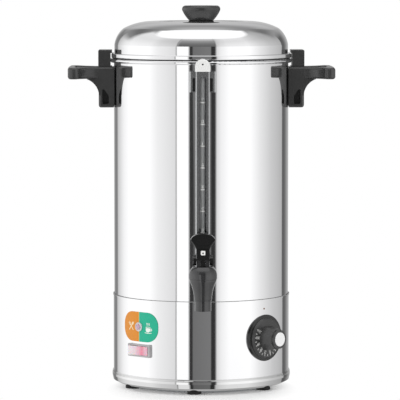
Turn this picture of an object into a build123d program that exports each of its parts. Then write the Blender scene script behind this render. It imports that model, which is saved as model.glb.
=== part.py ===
"""Hot water urn: stainless tank on a heated base, with a locking lid, a sight gauge and a tap.

Millimetres, +Z up. The origin is on the tank's axis, on the plane that the feet stand on.
The tap and the sight gauge face -Y. Each sub-part is written to parts/NAME.step.
"""
from build123d import *
from math import asin, cos, radians, sin, sqrt
import os

os.makedirs("parts", exist_ok=True)

# Stainless body
TANK_RADIUS = 110.0          # outside of the tank wall
SHEET = 0.8                  # thickness of the stainless sheet
FIT = 0.1                    # clearance between pieces that slip over each other
SLIP = 0.3                   # clearance between curved faces that move past each other
GLUE = 0.02                  # film between the skirt and the badge
THROUGH = 600.0              # length of the cuts that pass right through
FOOT_HEIGHT = 5.0            # standing plane to the underside of the base
FOOT_RADIUS = 9.0
FOOT_COUNT = 6
FOOT_SCREW_RADIUS = 2.0
FIRST_FOOT_ANGLE = -6.0      # measured from the front, anticlockwise seen from above
RING_HEIGHT = 14.5           # bright trim round the bottom of the skirt
RING_BULGE = 1.6             # trim stands out of the skirt by this much
RING_SHEET = 1.0
RING_SEAT = 4.5              # underside of the trim to the bottom edge of the skirt
SKIRT_TOP = 116.0
SKIRT_OVERLAP = 10.0         # tank wall reaches this far down into the skirt
FLOOR_LEVEL = 124.5          # inside face of the tank's floor
RIM_TOP = 413.5
RIM_BEAD = 5.0               # height and overhang of the rolled rim

# Lid
SEAL_THICKNESS = 0.8
FLANGE_HEIGHT = 5.5
FLANGE_SHORT = 0.5           # the lid's flange is smaller than the rim by this much
DOME_WALL = 11.0             # upright part of the dome above the flange
DOME_RISE = 40.0             # flange top to the flat crown
CROWN_RADIUS = 54.5
CROWN_STEP = 0.6             # the flat crown is pressed down by this much
SPIGOT_DEPTH = 12.0          # the lid's inner collar hangs this far below the flange
SPIGOT_GAP = 1.2
DOME_SHORT = 0.6             # the dome's wall is smaller than the tank by this much
DOME_CORNER = 12.0           # rounding between the dome's side and its slope
HIP_RUN = 11.6               # dome wall to the top of its rounded side, measured inward
HIP_DROP = 8.8               # crown down to the top of the rounded side
NOTCH_SIDE = 2.5             # the flange's notches are wider than the hooks, each side
NOTCH_GAP = 1.2              # and deeper than their reach
KNOB_RADIUS = 23.8
KNOB_HEIGHT = 19.5
KNOB_NECK_RADIUS = 14.5
KNOB_WAIST_RADIUS = 20.2
KNOB_WAIST = 6.8             # underside of the knob to its waist
KNOB_EDGE = 6.2              # height of the knob's rounded edge
KNOB_WASHER = 0.8
KNOB_SCREW_RADIUS = 2.5
KNOB_SCREW_LENGTH = 14.0

# Handles
HANDLE_BACK_WIDTH = 44.0
HANDLE_BACK_HEIGHT = 51.0    # foot of the back plate to the top of the grip
HANDLE_BACK_DEPTH = 19.0     # tank wall to the front of the handle's back plate
HANDLE_BACK_CORNER = 6.0
HANDLE_BACK_EDGE = 3.0
HANDLE_ROOT = 6.0            # the outlines start this far inside the tank wall
GRIP_WIDTH = 102.0
GRIP_REACH = 58.0            # tank wall to the outside of the grip
GRIP_BAR = 9.4               # thickness of the bar, seen from above
GRIP_CROWN = 1.5             # the bar's outside bulges by this much
GRIP_NECK = 4.0              # the flare ends this far behind the bar
GRIP_NECK_CORNER = 5.0
GRIP_END_CORNER = 6.5
GRIP_DROP = 10.5             # rim of the tank down to the top of the grip
GRIP_HEIGHT = 14.5
GRIP_ROUNDING = 3.2
FLARE = 0.4                  # share of the flare that is reached half way along it
FLARE_SHIFT = 3.0
FINGER_GAP = 2.5             # front of the back plate to the finger hole
FINGER_SIDE_NEAR = 8.0       # side walls of the finger hole at the plate and at the bar
FINGER_SIDE_FAR = 11.0
FINGER_CORNER = 3.5
GUSSET_RADIUS = 21.0         # hollow curve under the grip
GUSSET_BITE = 0.4
POCKET_RIM = 4.6             # wall round the pockets in the sides of the back plate
POCKET_WEB = 12.0            # wall between the two pockets
POCKET_CORNER = 1.5
HOOK_WIDTH = 34.0
HOOK_POST = 14.5             # thickness of the post, seen from the front
HOOK_GAP = 0.4               # lid's flange to the underside of the arm
HOOK_CLEARANCE = 0.6         # rim of the tank to the post
HOOK_ARM = 3.8               # thickness of the arm over the lid
HOOK_CORNER = 1.5
HOOK_GRAB = 2.0              # the arm reaches over the flange by this much
HANDLE_SCREW_RADIUS = 2.0
HANDLE_SCREW_LOW = 11.0      # foot of the back plate to the lower screw
HANDLE_SCREW_SPACING = 16.0
HANDLE_SCREW_SINK = 6.0      # the heads sit this far inside the back plate
BRACKET_SHEET = 1.5
BRACKET_MARGIN = 3.0         # the back plate is larger than the bracket by this much

# Sight gauge
GUARD_WIDTH = 17.3
GUARD_DEPTH = 18.0
GUARD_SHEET = 1.0
GUARD_SLOT = 8.6
GUARD_SLOT_MARGIN = 6.0      # closed front of the guard below and above its slot
GUARD_BEND = 1.6
UNION_RISE = 17.0            # tap's shank to the foot of the guard, which stands on the union
UNION_RADIUS = 6.4
TUBE_RADIUS = 3.0
TUBE_WALL = 0.9
TUBE_RISE = 9.0              # tap's shank to the lower end of the tube
GAUGE_SEAL = 1.8             # thickness of the rubber round each end of the tube
SEAL_DEPTH = 5.0             # the rubber reaches this far into the cap
CAP_DROP = 12.5              # rim of the tank down to the foot of the cap
CAP_WIDTH = 18.8
CAP_HEIGHT = 15.2
CAP_PROUD = 1.0              # the cap stands out of the guard's front by this much
CAP_EDGE = 2.4
SADDLE_WIDTH = 33.0
SADDLE_HEIGHT = 25.5
SADDLE_DEPTH = 12.0
SADDLE_SHEET = 1.0           # the saddle's plate behind the guard
WINDOW_WIDTH = 4.0
WINDOW_HEIGHT = 16.6
CAP_HOLE_RADIUS = 1.1

# Tap
TAP_REACH = 38.0             # tank wall to the tap's upright axis
TAP_AXIS_Z = 141.0           # height of the shank that passes through the tank wall
SPOUT_DROP = 31.4            # shank to the end of the spout
SPOUT_RADIUS = 10.0
SPOUT_BORE = 7.5
SPOUT_STRAIGHT = 12.0
BARREL_RISE = 7.0            # shank to the joint with the bonnet
BONNET_HEIGHT = 16.0
BONNET_RADIUS = 17.4
BONNET_CROWN_RADIUS = 12.0
SEAT_DROP = 7.0              # shank to the valve's seat
CHAMBER_RADIUS = 12.0
SHANK_RADIUS = 8.0
SHANK_BORE = 5.0
SHANK_INSIDE = 15.0          # the shank's thread reaches this far past the tank wall
WASHER_THICKNESS = 2.5
TAP_NUT_THICKNESS = 6.0
STEM_RADIUS = 2.5
STEM_LIFT = 4.0
SPRING_RADIUS = 6.0
SPRING_WIRE = 0.6            # radius of the wire
SPRING_TURNS = 4
LEVER_HEIGHT = 32.8          # pin to the top of the paddle
PADDLE_WIDTH = 31.2
PADDLE_RISE = 24.4           # pin to the widest part of the paddle
NECK_WIDTH = 16.4
NECK_RISE = 12.5             # pin to the neck of the lever
FORK_WIDTH = 24.0
LEVER_THICKNESS = 7.0
LEVER_EDGE = 0.9
DISH_DEPTH = 1.4
DISH_RIM = 2.8
LEVER_PIN_RADIUS = 1.6
PIN_RISE = 8.0               # top of the bonnet to the pin
EAR_THICKNESS = 4.8
EAR_RADIUS = 4.4
FORK_CHEEK_RADIUS = 6.4
FORK_DEPTH = 10.0            # the fork is open to this far above the pin

# Controls on the skirt, placed by their angle from the front
DIAL_ANGLE = 45.0
DIAL_Z = 68.0
DIAL_RADIUS = 29.0
KNOB_SKIRT_RADIUS = 25.5
KNOB_FACE_RADIUS = 23.5      # the numbered skirt tapers to this
GRIP_FACETS = 8
GRIP_FOOT_RADIUS = 16.0
GRIP_HEAD_RADIUS = 13.0
PANEL_ANGLE = -44.6
BADGE_Z = 82.1
BADGE_WIDTH = 58.0
BADGE_HEIGHT = 37.0
BADGE_THICKNESS = 0.8
LAMP_RADIUS = 4.0
SWITCH_Z = 52.5
SWITCH_WIDTH = 38.0
SWITCH_HEIGHT = 16.0
SWITCH_RISE = 1.9
PIVOT_RADIUS = 1.2
PIVOT_SINK = 1.5             # front of the switch's frame down to the pivot
ROCKER_ROOM = 6.0            # room for the rocker below its pivot
ROCKER_WIDTH = 31.0
ROCKER_HEIGHT = 11.0
ROCKER_TILT = 8.0            # each side of the middle
SWITCH_WALL = 1.2
SWITCH_DEPTH = 22.0
INLET_ANGLE = 180.0
INLET_Z = 52.0
INLET_WIDTH = 50.0
INLET_HEIGHT = 25.0
INLET_SCREW_SPACING = 40.0
INLET_SCREW_RADIUS = 1.5
INLET_DEPTH = 24.0
INLET_RISE = 3.0
SOCKET_WIDTH = 24.4
SOCKET_HEIGHT = 16.4
SOCKET_DEPTH = 17.0
THERMOSTAT_NECK_RADIUS = 5.0
THERMOSTAT_SHAFT_RADIUS = 3.0
THERMOSTAT_SCREW_SPACING = 28.0
THERMOSTAT_SCREW_RADIUS = 1.5
THERMOSTAT_HEAD = 1.3        # height of the screw heads
THERMOSTAT_NECK_RISE = 0.6   # the neck stands out of the skirt by this much
THERMOSTAT_SIZE = 34.0
THERMOSTAT_DEPTH = 26.0
BEZEL_RISE = 1.2
BEZEL_EDGE = 0.8
KNOB_SKIRT_THICKNESS = 3.0
KNOB_RISE = 25.0             # skirt of the urn to the top of the knob's rim
KNOB_TOP_RADIUS = 11.5
KNOB_CAP_RADIUS = 8.8

# Heater under the tank's floor
FLOOR_DISH = 1.5             # the middle of the floor is this much lower than its edge
SPREADER_RADIUS = 70.0
SPREADER_THICKNESS = 5.0
ELEMENT_RADIUS = 54.0
ELEMENT_TUBE = 4.2
ELEMENT_SPAN = 310.0         # degrees of the loop
ELEMENT_LEG = 22.0
CLAMP_THICKNESS = 3.0
HEATER_STUD_RADIUS = 3.0
CUTOUT_RADIUS = 12.0
BULB_RADIUS = 3.0
BULB_LENGTH = 55.0
BULB_INSET = 25.2            # inside of the tank to the bulb
CAPILLARY_RADIUS = 0.9
TERMINAL_Y = 62.0

# Sizes that follow from the ones above
tank_inside = TANK_RADIUS - SHEET
skirt_inside = TANK_RADIUS + FIT
skirt_radius = skirt_inside + SHEET
rim_radius = TANK_RADIUS + RIM_BEAD
grip_top = RIM_TOP - GRIP_DROP
handle_foot = grip_top - HANDLE_BACK_HEIGHT
screw_low = handle_foot + HANDLE_SCREW_LOW
handle_screw_heights = (screw_low, screw_low + HANDLE_SCREW_SPACING)
handle_front = TANK_RADIUS + HANDLE_BACK_DEPTH
flange_radius = rim_radius - FLANGE_SHORT
seal_bottom = RIM_TOP + FIT
flange_bottom = seal_bottom + SEAL_THICKNESS + FIT
flange_top = flange_bottom + FLANGE_HEIGHT
crown_top = flange_top + DOME_RISE
crown_flat = crown_top - CROWN_STEP
knob_bottom = crown_flat + KNOB_WASHER
ring_bottom = FOOT_HEIGHT
ring_inside = skirt_radius + FIT
ring_radius = ring_inside + RING_BULGE
shelf_inner = ring_inside - 24       # inward shelf of the trim, which carries the feet
shelf_top = ring_bottom + RING_SHEET
skirt_bottom = ring_bottom + RING_SEAT
cover_radius = ring_inside - 5
foot_circle = cover_radius - FOOT_RADIUS - 2
ring_top = ring_bottom + RING_HEIGHT
floor_middle = FLOOR_LEVEL - FLOOR_DISH
floor_under = floor_middle - SHEET
tube_y = -(TANK_RADIUS + GUARD_DEPTH / 2)
tap_y = -(TANK_RADIUS + TAP_REACH)
switch_body_width = ROCKER_WIDTH + 2 * (SLIP + SWITCH_WALL)
switch_body_height = ROCKER_HEIGHT + 2 * (SLIP + SWITCH_WALL)
inlet_body_width = SOCKET_WIDTH + 3.6
inlet_body_height = SOCKET_HEIGHT + 3.6
pivot_depth = skirt_radius + SWITCH_RISE - PIVOT_SINK
bulb_offset = tank_inside - BULB_INSET
cap_bottom = RIM_TOP - CAP_DROP
tube_top = cap_bottom + SEAL_DEPTH
tube_bottom = TAP_AXIS_Z + TUBE_RISE
union_top = TAP_AXIS_Z + UNION_RISE
seat_level = TAP_AXIS_Z - SEAT_DROP
spout_bottom = TAP_AXIS_Z - SPOUT_DROP
barrel_top = TAP_AXIS_Z + BARREL_RISE
bonnet_top = barrel_top + BONNET_HEIGHT
pin_z = bonnet_top + PIN_RISE
neck_z = pin_z + NECK_RISE
paddle_widest = pin_z + PADDLE_RISE
lever_top = pin_z + LEVER_HEIGHT
union_back = TANK_RADIUS + WASHER_THICKNESS
union_front = -tube_y + UNION_RADIUS + 1.0
shank_end = tank_inside - SHANK_INSIDE
nut_front = tank_inside - WASHER_THICKNESS - 0.7
spring_room = SPRING_RADIUS + SPRING_WIRE + 2 * SLIP
spring_top = bonnet_top - 3
spring_low = seat_level + 12.5
ear_inner = STEM_RADIUS + SLIP + 0.2
ear_outer = ear_inner + EAR_THICKNESS
slot_radius = LEVER_PIN_RADIUS + FIT
tongue_half = slot_radius + 2.0


def save(shape, node):
    """Write one sub-part, named as its node."""
    shape.label = node
    export_step(shape, "parts/" + node + ".step")


def turned(*points):
    """Solid of revolution about Z from a closed outline of (radius, height) points."""
    return revolve(Plane.XZ * make_face(Polyline(*points, close=True)), Axis.Z)


def facing(angle, radius, height):
    """Plane on the round body: Z points outward, Y up, X to the right seen from outside."""
    a = radians(angle)
    return Plane(
        origin=(radius * sin(a), -radius * cos(a), height),
        x_dir=(cos(a), sin(a), 0),
        z_dir=(sin(a), -cos(a), 0),
    )


def upright(radius, low, high):
    """Solid cylinder about Z between two heights."""
    return Pos(0, 0, low) * Cylinder(radius, high - low, align=(Align.CENTER, Align.CENTER, Align.MIN))


def pipe(outer, inner, low, high):
    """Hollow cylinder about Z between two heights."""
    return upright(outer, low, high) - upright(inner, low, high)


def peg(radius, low, high):
    """Cylinder along a plane's own Z, to be placed by that plane."""
    return Pos(0, 0, low) * Cylinder(radius, high - low, align=(Align.CENTER, Align.CENTER, Align.MIN))


def block(width, height, low, high, corner=0.0):
    """Plate centred on a plane's origin, between two distances along its Z."""
    outline = RectangleRounded(width, height, corner) if corner else Rectangle(width, height)
    return extrude(Pos(0, 0, low) * outline, high - low)


def screw(radius, length, head_radius, head_height):
    """Pan-head screw: the head's underside is at Z 0 and the shank points to -Z."""
    head = fillet(peg(head_radius, 0, head_height).edges().group_by(Axis.Z)[-1], head_height * 0.45)
    slot = block(head_radius * 0.45, head_radius * 1.2, head_height * 0.5, head_height + 1)
    cross = slot + Rot(0, 0, 90) * slot
    return head + peg(radius, -length, 0) - cross


def hex_nut(radius, across_flats, height):
    """Hexagonal nut on Z, standing on Z 0."""
    hexagon = RegularPolygon(across_flats / 2, 6, major_radius=False)
    return extrude(hexagon - Circle(radius), height)


# ---------------------------------------------------------------- stainless body

def make_tank():
    """Rolled tank wall with a beaded rim, and the dished floor that is welded into it."""
    wall = pipe(TANK_RADIUS, tank_inside, SKIRT_TOP - SKIRT_OVERLAP, RIM_TOP - 1)
    bead = pipe(rim_radius, tank_inside, RIM_TOP - RIM_BEAD, RIM_TOP)
    bead = fillet(bead.edges().filter_by(GeomType.CIRCLE).filter_by(
        lambda e: e.radius > TANK_RADIUS), RIM_BEAD * 0.4)
    shank_hole = facing(0, 0, TAP_AXIS_Z) * peg(SHANK_RADIUS + FIT, tank_inside - 5, TANK_RADIUS + 5)
    save(wall + bead - shank_hole, "tank_shell")

    lip = tank_inside - FIT
    flat = SPREADER_RADIUS + 3
    dish = turned((0, floor_middle), (flat, floor_middle), (lip - 12, FLOOR_LEVEL), (lip - 3, FLOOR_LEVEL),
                  (lip, FLOOR_LEVEL - 3), (lip, FLOOR_LEVEL - 14), (lip - SHEET, FLOOR_LEVEL - 14),
                  (lip - SHEET, FLOOR_LEVEL - 3), (lip - 3, FLOOR_LEVEL - SHEET),
                  (lip - 12, FLOOR_LEVEL - SHEET), (flat, floor_middle - SHEET), (0, floor_middle - SHEET))
    save(dish, "tank_floor")


def make_base():
    """Skirt, pressed trim ring with its inward shelf, vented cover, feet and their screws."""
    skirt = pipe(skirt_radius, skirt_inside, skirt_bottom, SKIRT_TOP)
    step = pipe(skirt_radius + 0.5, skirt_radius - 0.1, SKIRT_TOP - 1.5, SKIRT_TOP)
    skirt += step
    dial = facing(DIAL_ANGLE, 0, DIAL_Z)
    skirt -= dial * peg(THERMOSTAT_NECK_RADIUS + FIT, skirt_inside - 12, skirt_radius + 5)
    for side in (-1, 1):
        skirt -= dial * Pos(side * THERMOSTAT_SCREW_SPACING / 2, 0) * peg(
            THERMOSTAT_SCREW_RADIUS + FIT, skirt_inside - 12, skirt_radius + 5)
    panel = facing(PANEL_ANGLE, 0, BADGE_Z)
    skirt -= panel * peg(LAMP_RADIUS + FIT, skirt_inside - 12, skirt_radius + 5)
    rocker = facing(PANEL_ANGLE, 0, SWITCH_Z)
    skirt -= rocker * block(switch_body_width + 2 * FIT, switch_body_height + 2 * FIT,
                            skirt_inside - 12, skirt_radius + 5)
    inlet = facing(INLET_ANGLE, 0, INLET_Z)
    skirt -= inlet * block(inlet_body_width + 2 * FIT, inlet_body_height + 2 * FIT,
                           skirt_inside - 12, skirt_radius + 5)
    for side in (-1, 1):
        skirt -= inlet * Pos(side * INLET_SCREW_SPACING / 2, 0) * peg(
            INLET_SCREW_RADIUS + FIT, skirt_inside - 12, skirt_radius + 5)
    save(skirt, "base_skirt")

    bulge_foot = ring_inside - 5
    outline = [(shelf_inner, ring_bottom), (bulge_foot, ring_bottom),
               (ring_radius - 1.2, ring_bottom + 3), (ring_radius, ring_bottom + 8.5),
               (ring_radius, ring_top - 3), (ring_radius - 0.9, ring_top - 2.4),
               (ring_radius - 0.3, ring_top - 1.2), (ring_radius - 0.8, ring_top),
               (ring_inside, ring_top), (ring_inside, skirt_bottom - FIT), (bulge_foot, shelf_top),
               (shelf_inner, shelf_top)]
    ring = turned(*outline)
    holes = PolarLocations(foot_circle, FOOT_COUNT, start_angle=FIRST_FOOT_ANGLE - 90)
    feet, screws, nuts = Part(), Part(), Part()
    cover = upright(cover_radius, shelf_top, shelf_top + SHEET)
    for spot in holes:
        drill = spot * peg(FOOT_SCREW_RADIUS, -1, shelf_top + 5)
        ring -= drill
        cover -= drill
        pad = turned((FOOT_SCREW_RADIUS, 2.2), (FOOT_SCREW_RADIUS + 2.2, 2.2), (FOOT_SCREW_RADIUS + 2.2, 0),
                     (FOOT_RADIUS - 0.8, 0), (FOOT_RADIUS, 0.8), (FOOT_RADIUS - 0.6, FOOT_HEIGHT),
                     (FOOT_SCREW_RADIUS, FOOT_HEIGHT))
        feet += spot * pad
        head = peg(FOOT_SCREW_RADIUS + 2.0, 0.8, 2.2)
        shank = peg(FOOT_SCREW_RADIUS, 2.2, shelf_top + SHEET + 6)
        screws += spot * (head + shank)
        nuts += spot * Pos(0, 0, shelf_top + SHEET) * hex_nut(FOOT_SCREW_RADIUS, 7.0, 3.2)
    save(ring, "base_ring")
    for row in (-1, 1):
        for column in range(-4, 5):
            cover -= Pos(column * 9, row * 30, shelf_top) * extrude(SlotOverall(34, 3.5, rotation=90), 5)
    save(cover, "bottom_cover")
    save(feet, "feet")
    save(screws, "foot_screws")
    save(nuts, "foot_nuts")


# ---------------------------------------------------------------- lid

def dome_face(inset):
    """Half section of the dome, filled to the axis, with every face moved in by the inset."""
    def inward(radius, height, slope):
        return (radius - inset * cos(radians(slope)), height - inset * sin(radians(slope)))

    wall = TANK_RADIUS - DOME_SHORT
    foot = flange_bottom if inset == 0 else flange_bottom - 1
    shoulder = inward(wall, flange_top + DOME_WALL, 0)
    side = inward(wall - HIP_RUN / 4, (flange_top + DOME_WALL + crown_top - HIP_DROP) / 2 - 0.8, 25)
    hip = inward(wall - HIP_RUN, crown_top - HIP_DROP, 55)
    slope = inward((wall - HIP_RUN + CROWN_RADIUS) / 2 + 1.8, crown_top - 1.6, 80)
    crown = inward(CROWN_RADIUS, crown_top - 0.2, 90)
    step = inward(CROWN_RADIUS - CROWN_STEP, crown_flat, 90)
    face = make_face([
        Line((0, foot), (shoulder[0], foot)),
        Line((shoulder[0], foot), shoulder),
        ThreePointArc(shoulder, side, hip),
        ThreePointArc(hip, slope, crown),
        Line(crown, step),
        Line(step, (0, step[1])),
        Line((0, step[1]), (0, foot)),
    ])
    corner = face.vertices().sort_by_distance((hip[0], hip[1], 0))[0]
    return fillet(corner, DOME_CORNER)


def make_lid():
    """Spun lid with a rolled flange and an inner collar, its knob with screw and washer, and the seal."""
    dome = dome_face(0) - dome_face(SHEET)
    flange_inner = TANK_RADIUS - 1.2
    flange = Pos((flange_inner + flange_radius) / 2, (flange_bottom + flange_top) / 2) * RectangleRounded(
        flange_radius - flange_inner, FLANGE_HEIGHT, 1.1)
    collar_radius = tank_inside - SPIGOT_GAP
    collar = Pos(collar_radius - SHEET / 2, flange_bottom - SPIGOT_DEPTH / 2 + 1) * Rectangle(
        SHEET, SPIGOT_DEPTH + 2)
    bridge = Pos((collar_radius + TANK_RADIUS) / 2 - 0.8, flange_bottom + SHEET / 2 + 0.6) * Rectangle(
        TANK_RADIUS - collar_radius + 0.8, SHEET)
    lid = revolve(Plane.XZ * (dome + flange + collar + bridge), Axis.Z)
    half_angle = asin((HOOK_WIDTH / 2 + NOTCH_SIDE) / flange_radius)
    reach = 2 * flange_radius
    far = (reach * cos(half_angle), reach * sin(half_angle))
    sector = make_face(Polyline((0, 0), far, (far[0], -far[1]), close=True))
    notch = extrude(Pos(0, 0, flange_bottom - FIT / 2) * sector, FLANGE_HEIGHT + FIT)
    notch -= upright(flange_radius - HOOK_GRAB - NOTCH_GAP, 0, THROUGH)
    lid -= notch + Rot(0, 0, 180) * notch
    lid -= upright(KNOB_SCREW_RADIUS, crown_flat - 6, crown_flat + 2)
    save(lid, "lid")

    seal = pipe(flange_radius - HOOK_GRAB - 2 * SLIP, tank_inside + 1.0,
                seal_bottom, seal_bottom + SEAL_THICKNESS)
    save(seal, "lid_seal")

    washer = pipe(KNOB_NECK_RADIUS + 1.5, KNOB_SCREW_RADIUS, crown_flat, knob_bottom)
    save(washer, "knob_washer")
    top = knob_bottom + KNOB_HEIGHT
    edge = top - KNOB_EDGE
    outline = [
        Line((0, knob_bottom), (KNOB_NECK_RADIUS, knob_bottom)),
        ThreePointArc((KNOB_NECK_RADIUS, knob_bottom), (KNOB_WAIST_RADIUS, knob_bottom + KNOB_WAIST),
                      (KNOB_RADIUS, edge)),
        ThreePointArc((KNOB_RADIUS, edge), (KNOB_RADIUS - 0.7, top - KNOB_EDGE / 4),
                      (KNOB_RADIUS - KNOB_EDGE / 2, top)),
        Line((KNOB_RADIUS - KNOB_EDGE / 2, top), (0, top)),
        Line((0, top), (0, knob_bottom)),
    ]
    knob = revolve(Plane.XZ * make_face(outline), Axis.Z)
    knob -= upright(KNOB_SCREW_RADIUS, knob_bottom - 1, crown_flat - SHEET + KNOB_SCREW_LENGTH)
    save(knob, "lid_knob")
    fixing = Pos(0, 0, crown_flat - SHEET) * Rot(180, 0, 0) * screw(
        KNOB_SCREW_RADIUS, KNOB_SCREW_LENGTH, KNOB_SCREW_RADIUS * 2, 3.0)
    save(fixing, "knob_screw")



# ---------------------------------------------------------------- handles

def grip_outline():
    """Plan outline of a handle in the X-Y plane, drawn for the +X side."""
    root = TANK_RADIUS - HANDLE_ROOT
    outside = TANK_RADIUS + GRIP_REACH
    half_back = HANDLE_BACK_WIDTH / 2
    half_grip = GRIP_WIDTH / 2
    neck = outside - GRIP_BAR - GRIP_NECK
    end = outside - GRIP_CROWN
    waist = ((handle_front + neck) / 2 + FLARE_SHIFT, half_back + (half_grip - half_back) * FLARE)
    face = make_face([
        Line((root, -half_back), (root, half_back)),
        Line((root, half_back), (handle_front, half_back)),
        ThreePointArc((handle_front, half_back), waist, (neck, half_grip)),
        Line((neck, half_grip), (end, half_grip)),
        ThreePointArc((end, half_grip), (outside, 0), (end, -half_grip)),
        Line((end, -half_grip), (neck, -half_grip)),
        ThreePointArc((neck, -half_grip), (waist[0], -waist[1]), (handle_front, -half_back)),
        Line((handle_front, -half_back), (root, -half_back)),
    ])
    face = fillet([v for v in face.vertices() if abs(v.X - neck) < FIT], GRIP_NECK_CORNER)
    return fillet([v for v in face.vertices() if abs(v.X - end) < FIT], GRIP_END_CORNER)


def finger_hole_outline():
    """Plan outline of the opening for the fingers, narrow at the tank and wide at the bar."""
    near = handle_front + FINGER_GAP
    far = TANK_RADIUS + GRIP_REACH - GRIP_BAR
    half_near = HANDLE_BACK_WIDTH / 2 - FINGER_SIDE_NEAR
    half_far = GRIP_WIDTH / 2 - FINGER_SIDE_FAR
    waist = ((near + far) / 2 + FLARE_SHIFT / 2, half_near + (half_far - half_near) * FLARE)
    hole = make_face([
        Line((near, -half_near), (near, half_near)),
        ThreePointArc((near, half_near), waist, (far, half_far)),
        Line((far, half_far), (far, -half_far)),
        ThreePointArc((far, -half_far), (waist[0], -waist[1]), (near, -half_near)),
    ])
    return fillet(hole.vertices(), FINGER_CORNER)


def gusset_outline(grip_low):
    """Section in X-Z of the web under the grip, with its hollow quarter-round front."""
    back = handle_front - POCKET_RIM
    foot = grip_low - GUSSET_RADIUS
    tip = handle_front + GUSSET_RADIUS
    middle = GUSSET_RADIUS * (1 - cos(radians(45)))
    return make_face([
        Line((back, grip_low + POCKET_RIM), (back, foot)),
        Line((back, foot), (handle_front - GUSSET_BITE, foot)),
        ThreePointArc((handle_front - GUSSET_BITE, foot), (handle_front + middle, grip_low - middle),
                      (tip, grip_low + GUSSET_BITE)),
        Line((tip, grip_low + GUSSET_BITE), (tip, grip_low + POCKET_RIM)),
        Line((tip, grip_low + POCKET_RIM), (back, grip_low + POCKET_RIM)),
    ])


def side_pocket(grip_low):
    """Recess in the -Y side of the back plate; its upper end continues the gusset's curve."""
    front = handle_front - POCKET_RIM
    back = skirt_inside + BRACKET_SHEET + POCKET_RIM
    low = handle_foot + POCKET_RIM
    high_front = grip_low - GUSSET_RADIUS * 0.55
    high_back = high_front - (front - back) * 1.3
    outline = make_face([
        Line((front, low), (front, high_front)),
        ThreePointArc((front, high_front), ((front + back) / 2 - 0.5, (high_front + high_back) / 2 + 0.5),
                      (back, high_back)),
        Line((back, high_back), (back, low)),
        Line((back, low), (front, low)),
    ])
    outline = fillet(outline.vertices(), POCKET_CORNER)
    return Plane.XZ.offset(POCKET_WEB / 2) * extrude(outline, HANDLE_BACK_WIDTH)


def make_handle():
    """One moulded handle for the +X side: back plate, looped grip, gusset, pockets and lid hook."""
    grip_low = grip_top - GRIP_HEIGHT
    plan = grip_outline() - finger_hole_outline()
    grip = extrude(Pos(0, 0, grip_low) * plan, GRIP_HEIGHT)
    flat_edges = grip.edges().group_by(Axis.Z)
    long_edges = [e for e in flat_edges[0] + flat_edges[-1] if e.center().X > TANK_RADIUS]
    grip = fillet(long_edges, GRIP_ROUNDING)

    half = HANDLE_BACK_WIDTH / 2
    plate_top = grip_top - GRIP_ROUNDING
    side = Plane.YZ.offset(TANK_RADIUS - HANDLE_ROOT)
    plate_face = make_face(Polyline((-half, plate_top), (-half, handle_foot), (half, handle_foot),
                                    (half, plate_top), close=True))
    plate_face = fillet(plate_face.vertices().group_by(Axis.Y)[0], HANDLE_BACK_CORNER)
    plate = extrude(side * plate_face, HANDLE_BACK_DEPTH + HANDLE_ROOT)
    plate = fillet(plate.faces().sort_by(Axis.X)[-1].edges().filter_by(
        lambda e: e.center().Z < plate_top - FIT), HANDLE_BACK_EDGE)
    gusset = extrude(Plane.XZ * gusset_outline(grip_low), half, both=True)
    handle = grip + plate + (gusset & extrude(Pos(0, 0, handle_foot) * plan, HANDLE_BACK_HEIGHT))
    pocket = side_pocket(grip_low)
    handle -= pocket + mirror(pocket, Plane.XZ)

    hook_inner = flange_radius - HOOK_GRAB
    post_outer = rim_radius + HOOK_POST
    arm_low = flange_top + HOOK_GAP
    hook_top = arm_low + HOOK_ARM
    post_low = grip_top - GRIP_ROUNDING
    hook = Pos(hook_inner, 0, post_low) * Box(post_outer - hook_inner, HOOK_WIDTH, hook_top - post_low,
                                              align=(Align.MIN, Align.CENTER, Align.MIN))
    hook = fillet(hook.edges().filter_by(Axis.Y).group_by(Axis.X)[-1].group_by(Axis.Z)[-1], HOOK_CORNER)
    hook -= upright(hook_inner, 0, THROUGH)
    handle += hook
    handle -= upright(rim_radius + HOOK_CLEARANCE, grip_top + 1, arm_low)
    handle -= upright(skirt_inside + BRACKET_SHEET, 0, grip_top + 1)
    for height in handle_screw_heights:
        spot = facing(90, 0, height)
        handle -= spot * peg(HANDLE_SCREW_RADIUS + FIT, 0, THROUGH)
        handle -= spot * peg(HANDLE_SCREW_RADIUS * 2 + 0.4, handle_front - HANDLE_SCREW_SINK, THROUGH)
    return handle


def make_handles():
    """Both handles, the curved steel brackets welded behind them, and their screws."""
    handle = make_handle()
    save(handle, "handle_right")
    save(Rot(0, 0, 180) * handle, "handle_left")
    strap = pipe(TANK_RADIUS + FIT + BRACKET_SHEET, TANK_RADIUS + FIT, handle_foot + BRACKET_MARGIN,
                 grip_top - BRACKET_MARGIN)
    strap &= Pos(TANK_RADIUS, 0, 0) * Box(TANK_RADIUS, HANDLE_BACK_WIDTH - 2 * BRACKET_MARGIN, 2 * THROUGH)
    screws = Part()
    for height in handle_screw_heights:
        spot = facing(90, 0, height)
        strap -= spot * peg(HANDLE_SCREW_RADIUS, 0, THROUGH)
        screws += spot * Pos(0, 0, handle_front - HANDLE_SCREW_SINK) * screw(
            HANDLE_SCREW_RADIUS, HANDLE_BACK_DEPTH - HANDLE_SCREW_SINK - FIT, HANDLE_SCREW_RADIUS * 2, 2.6)
    both = [Rot(0, 0, 0), Rot(0, 0, 180)]
    save(Compound(children=[turn * strap for turn in both]), "handle_brackets")
    save(Compound(children=[turn * s for turn in both for s in screws.solids()]), "handle_screws")


# ---------------------------------------------------------------- sight gauge

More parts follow.
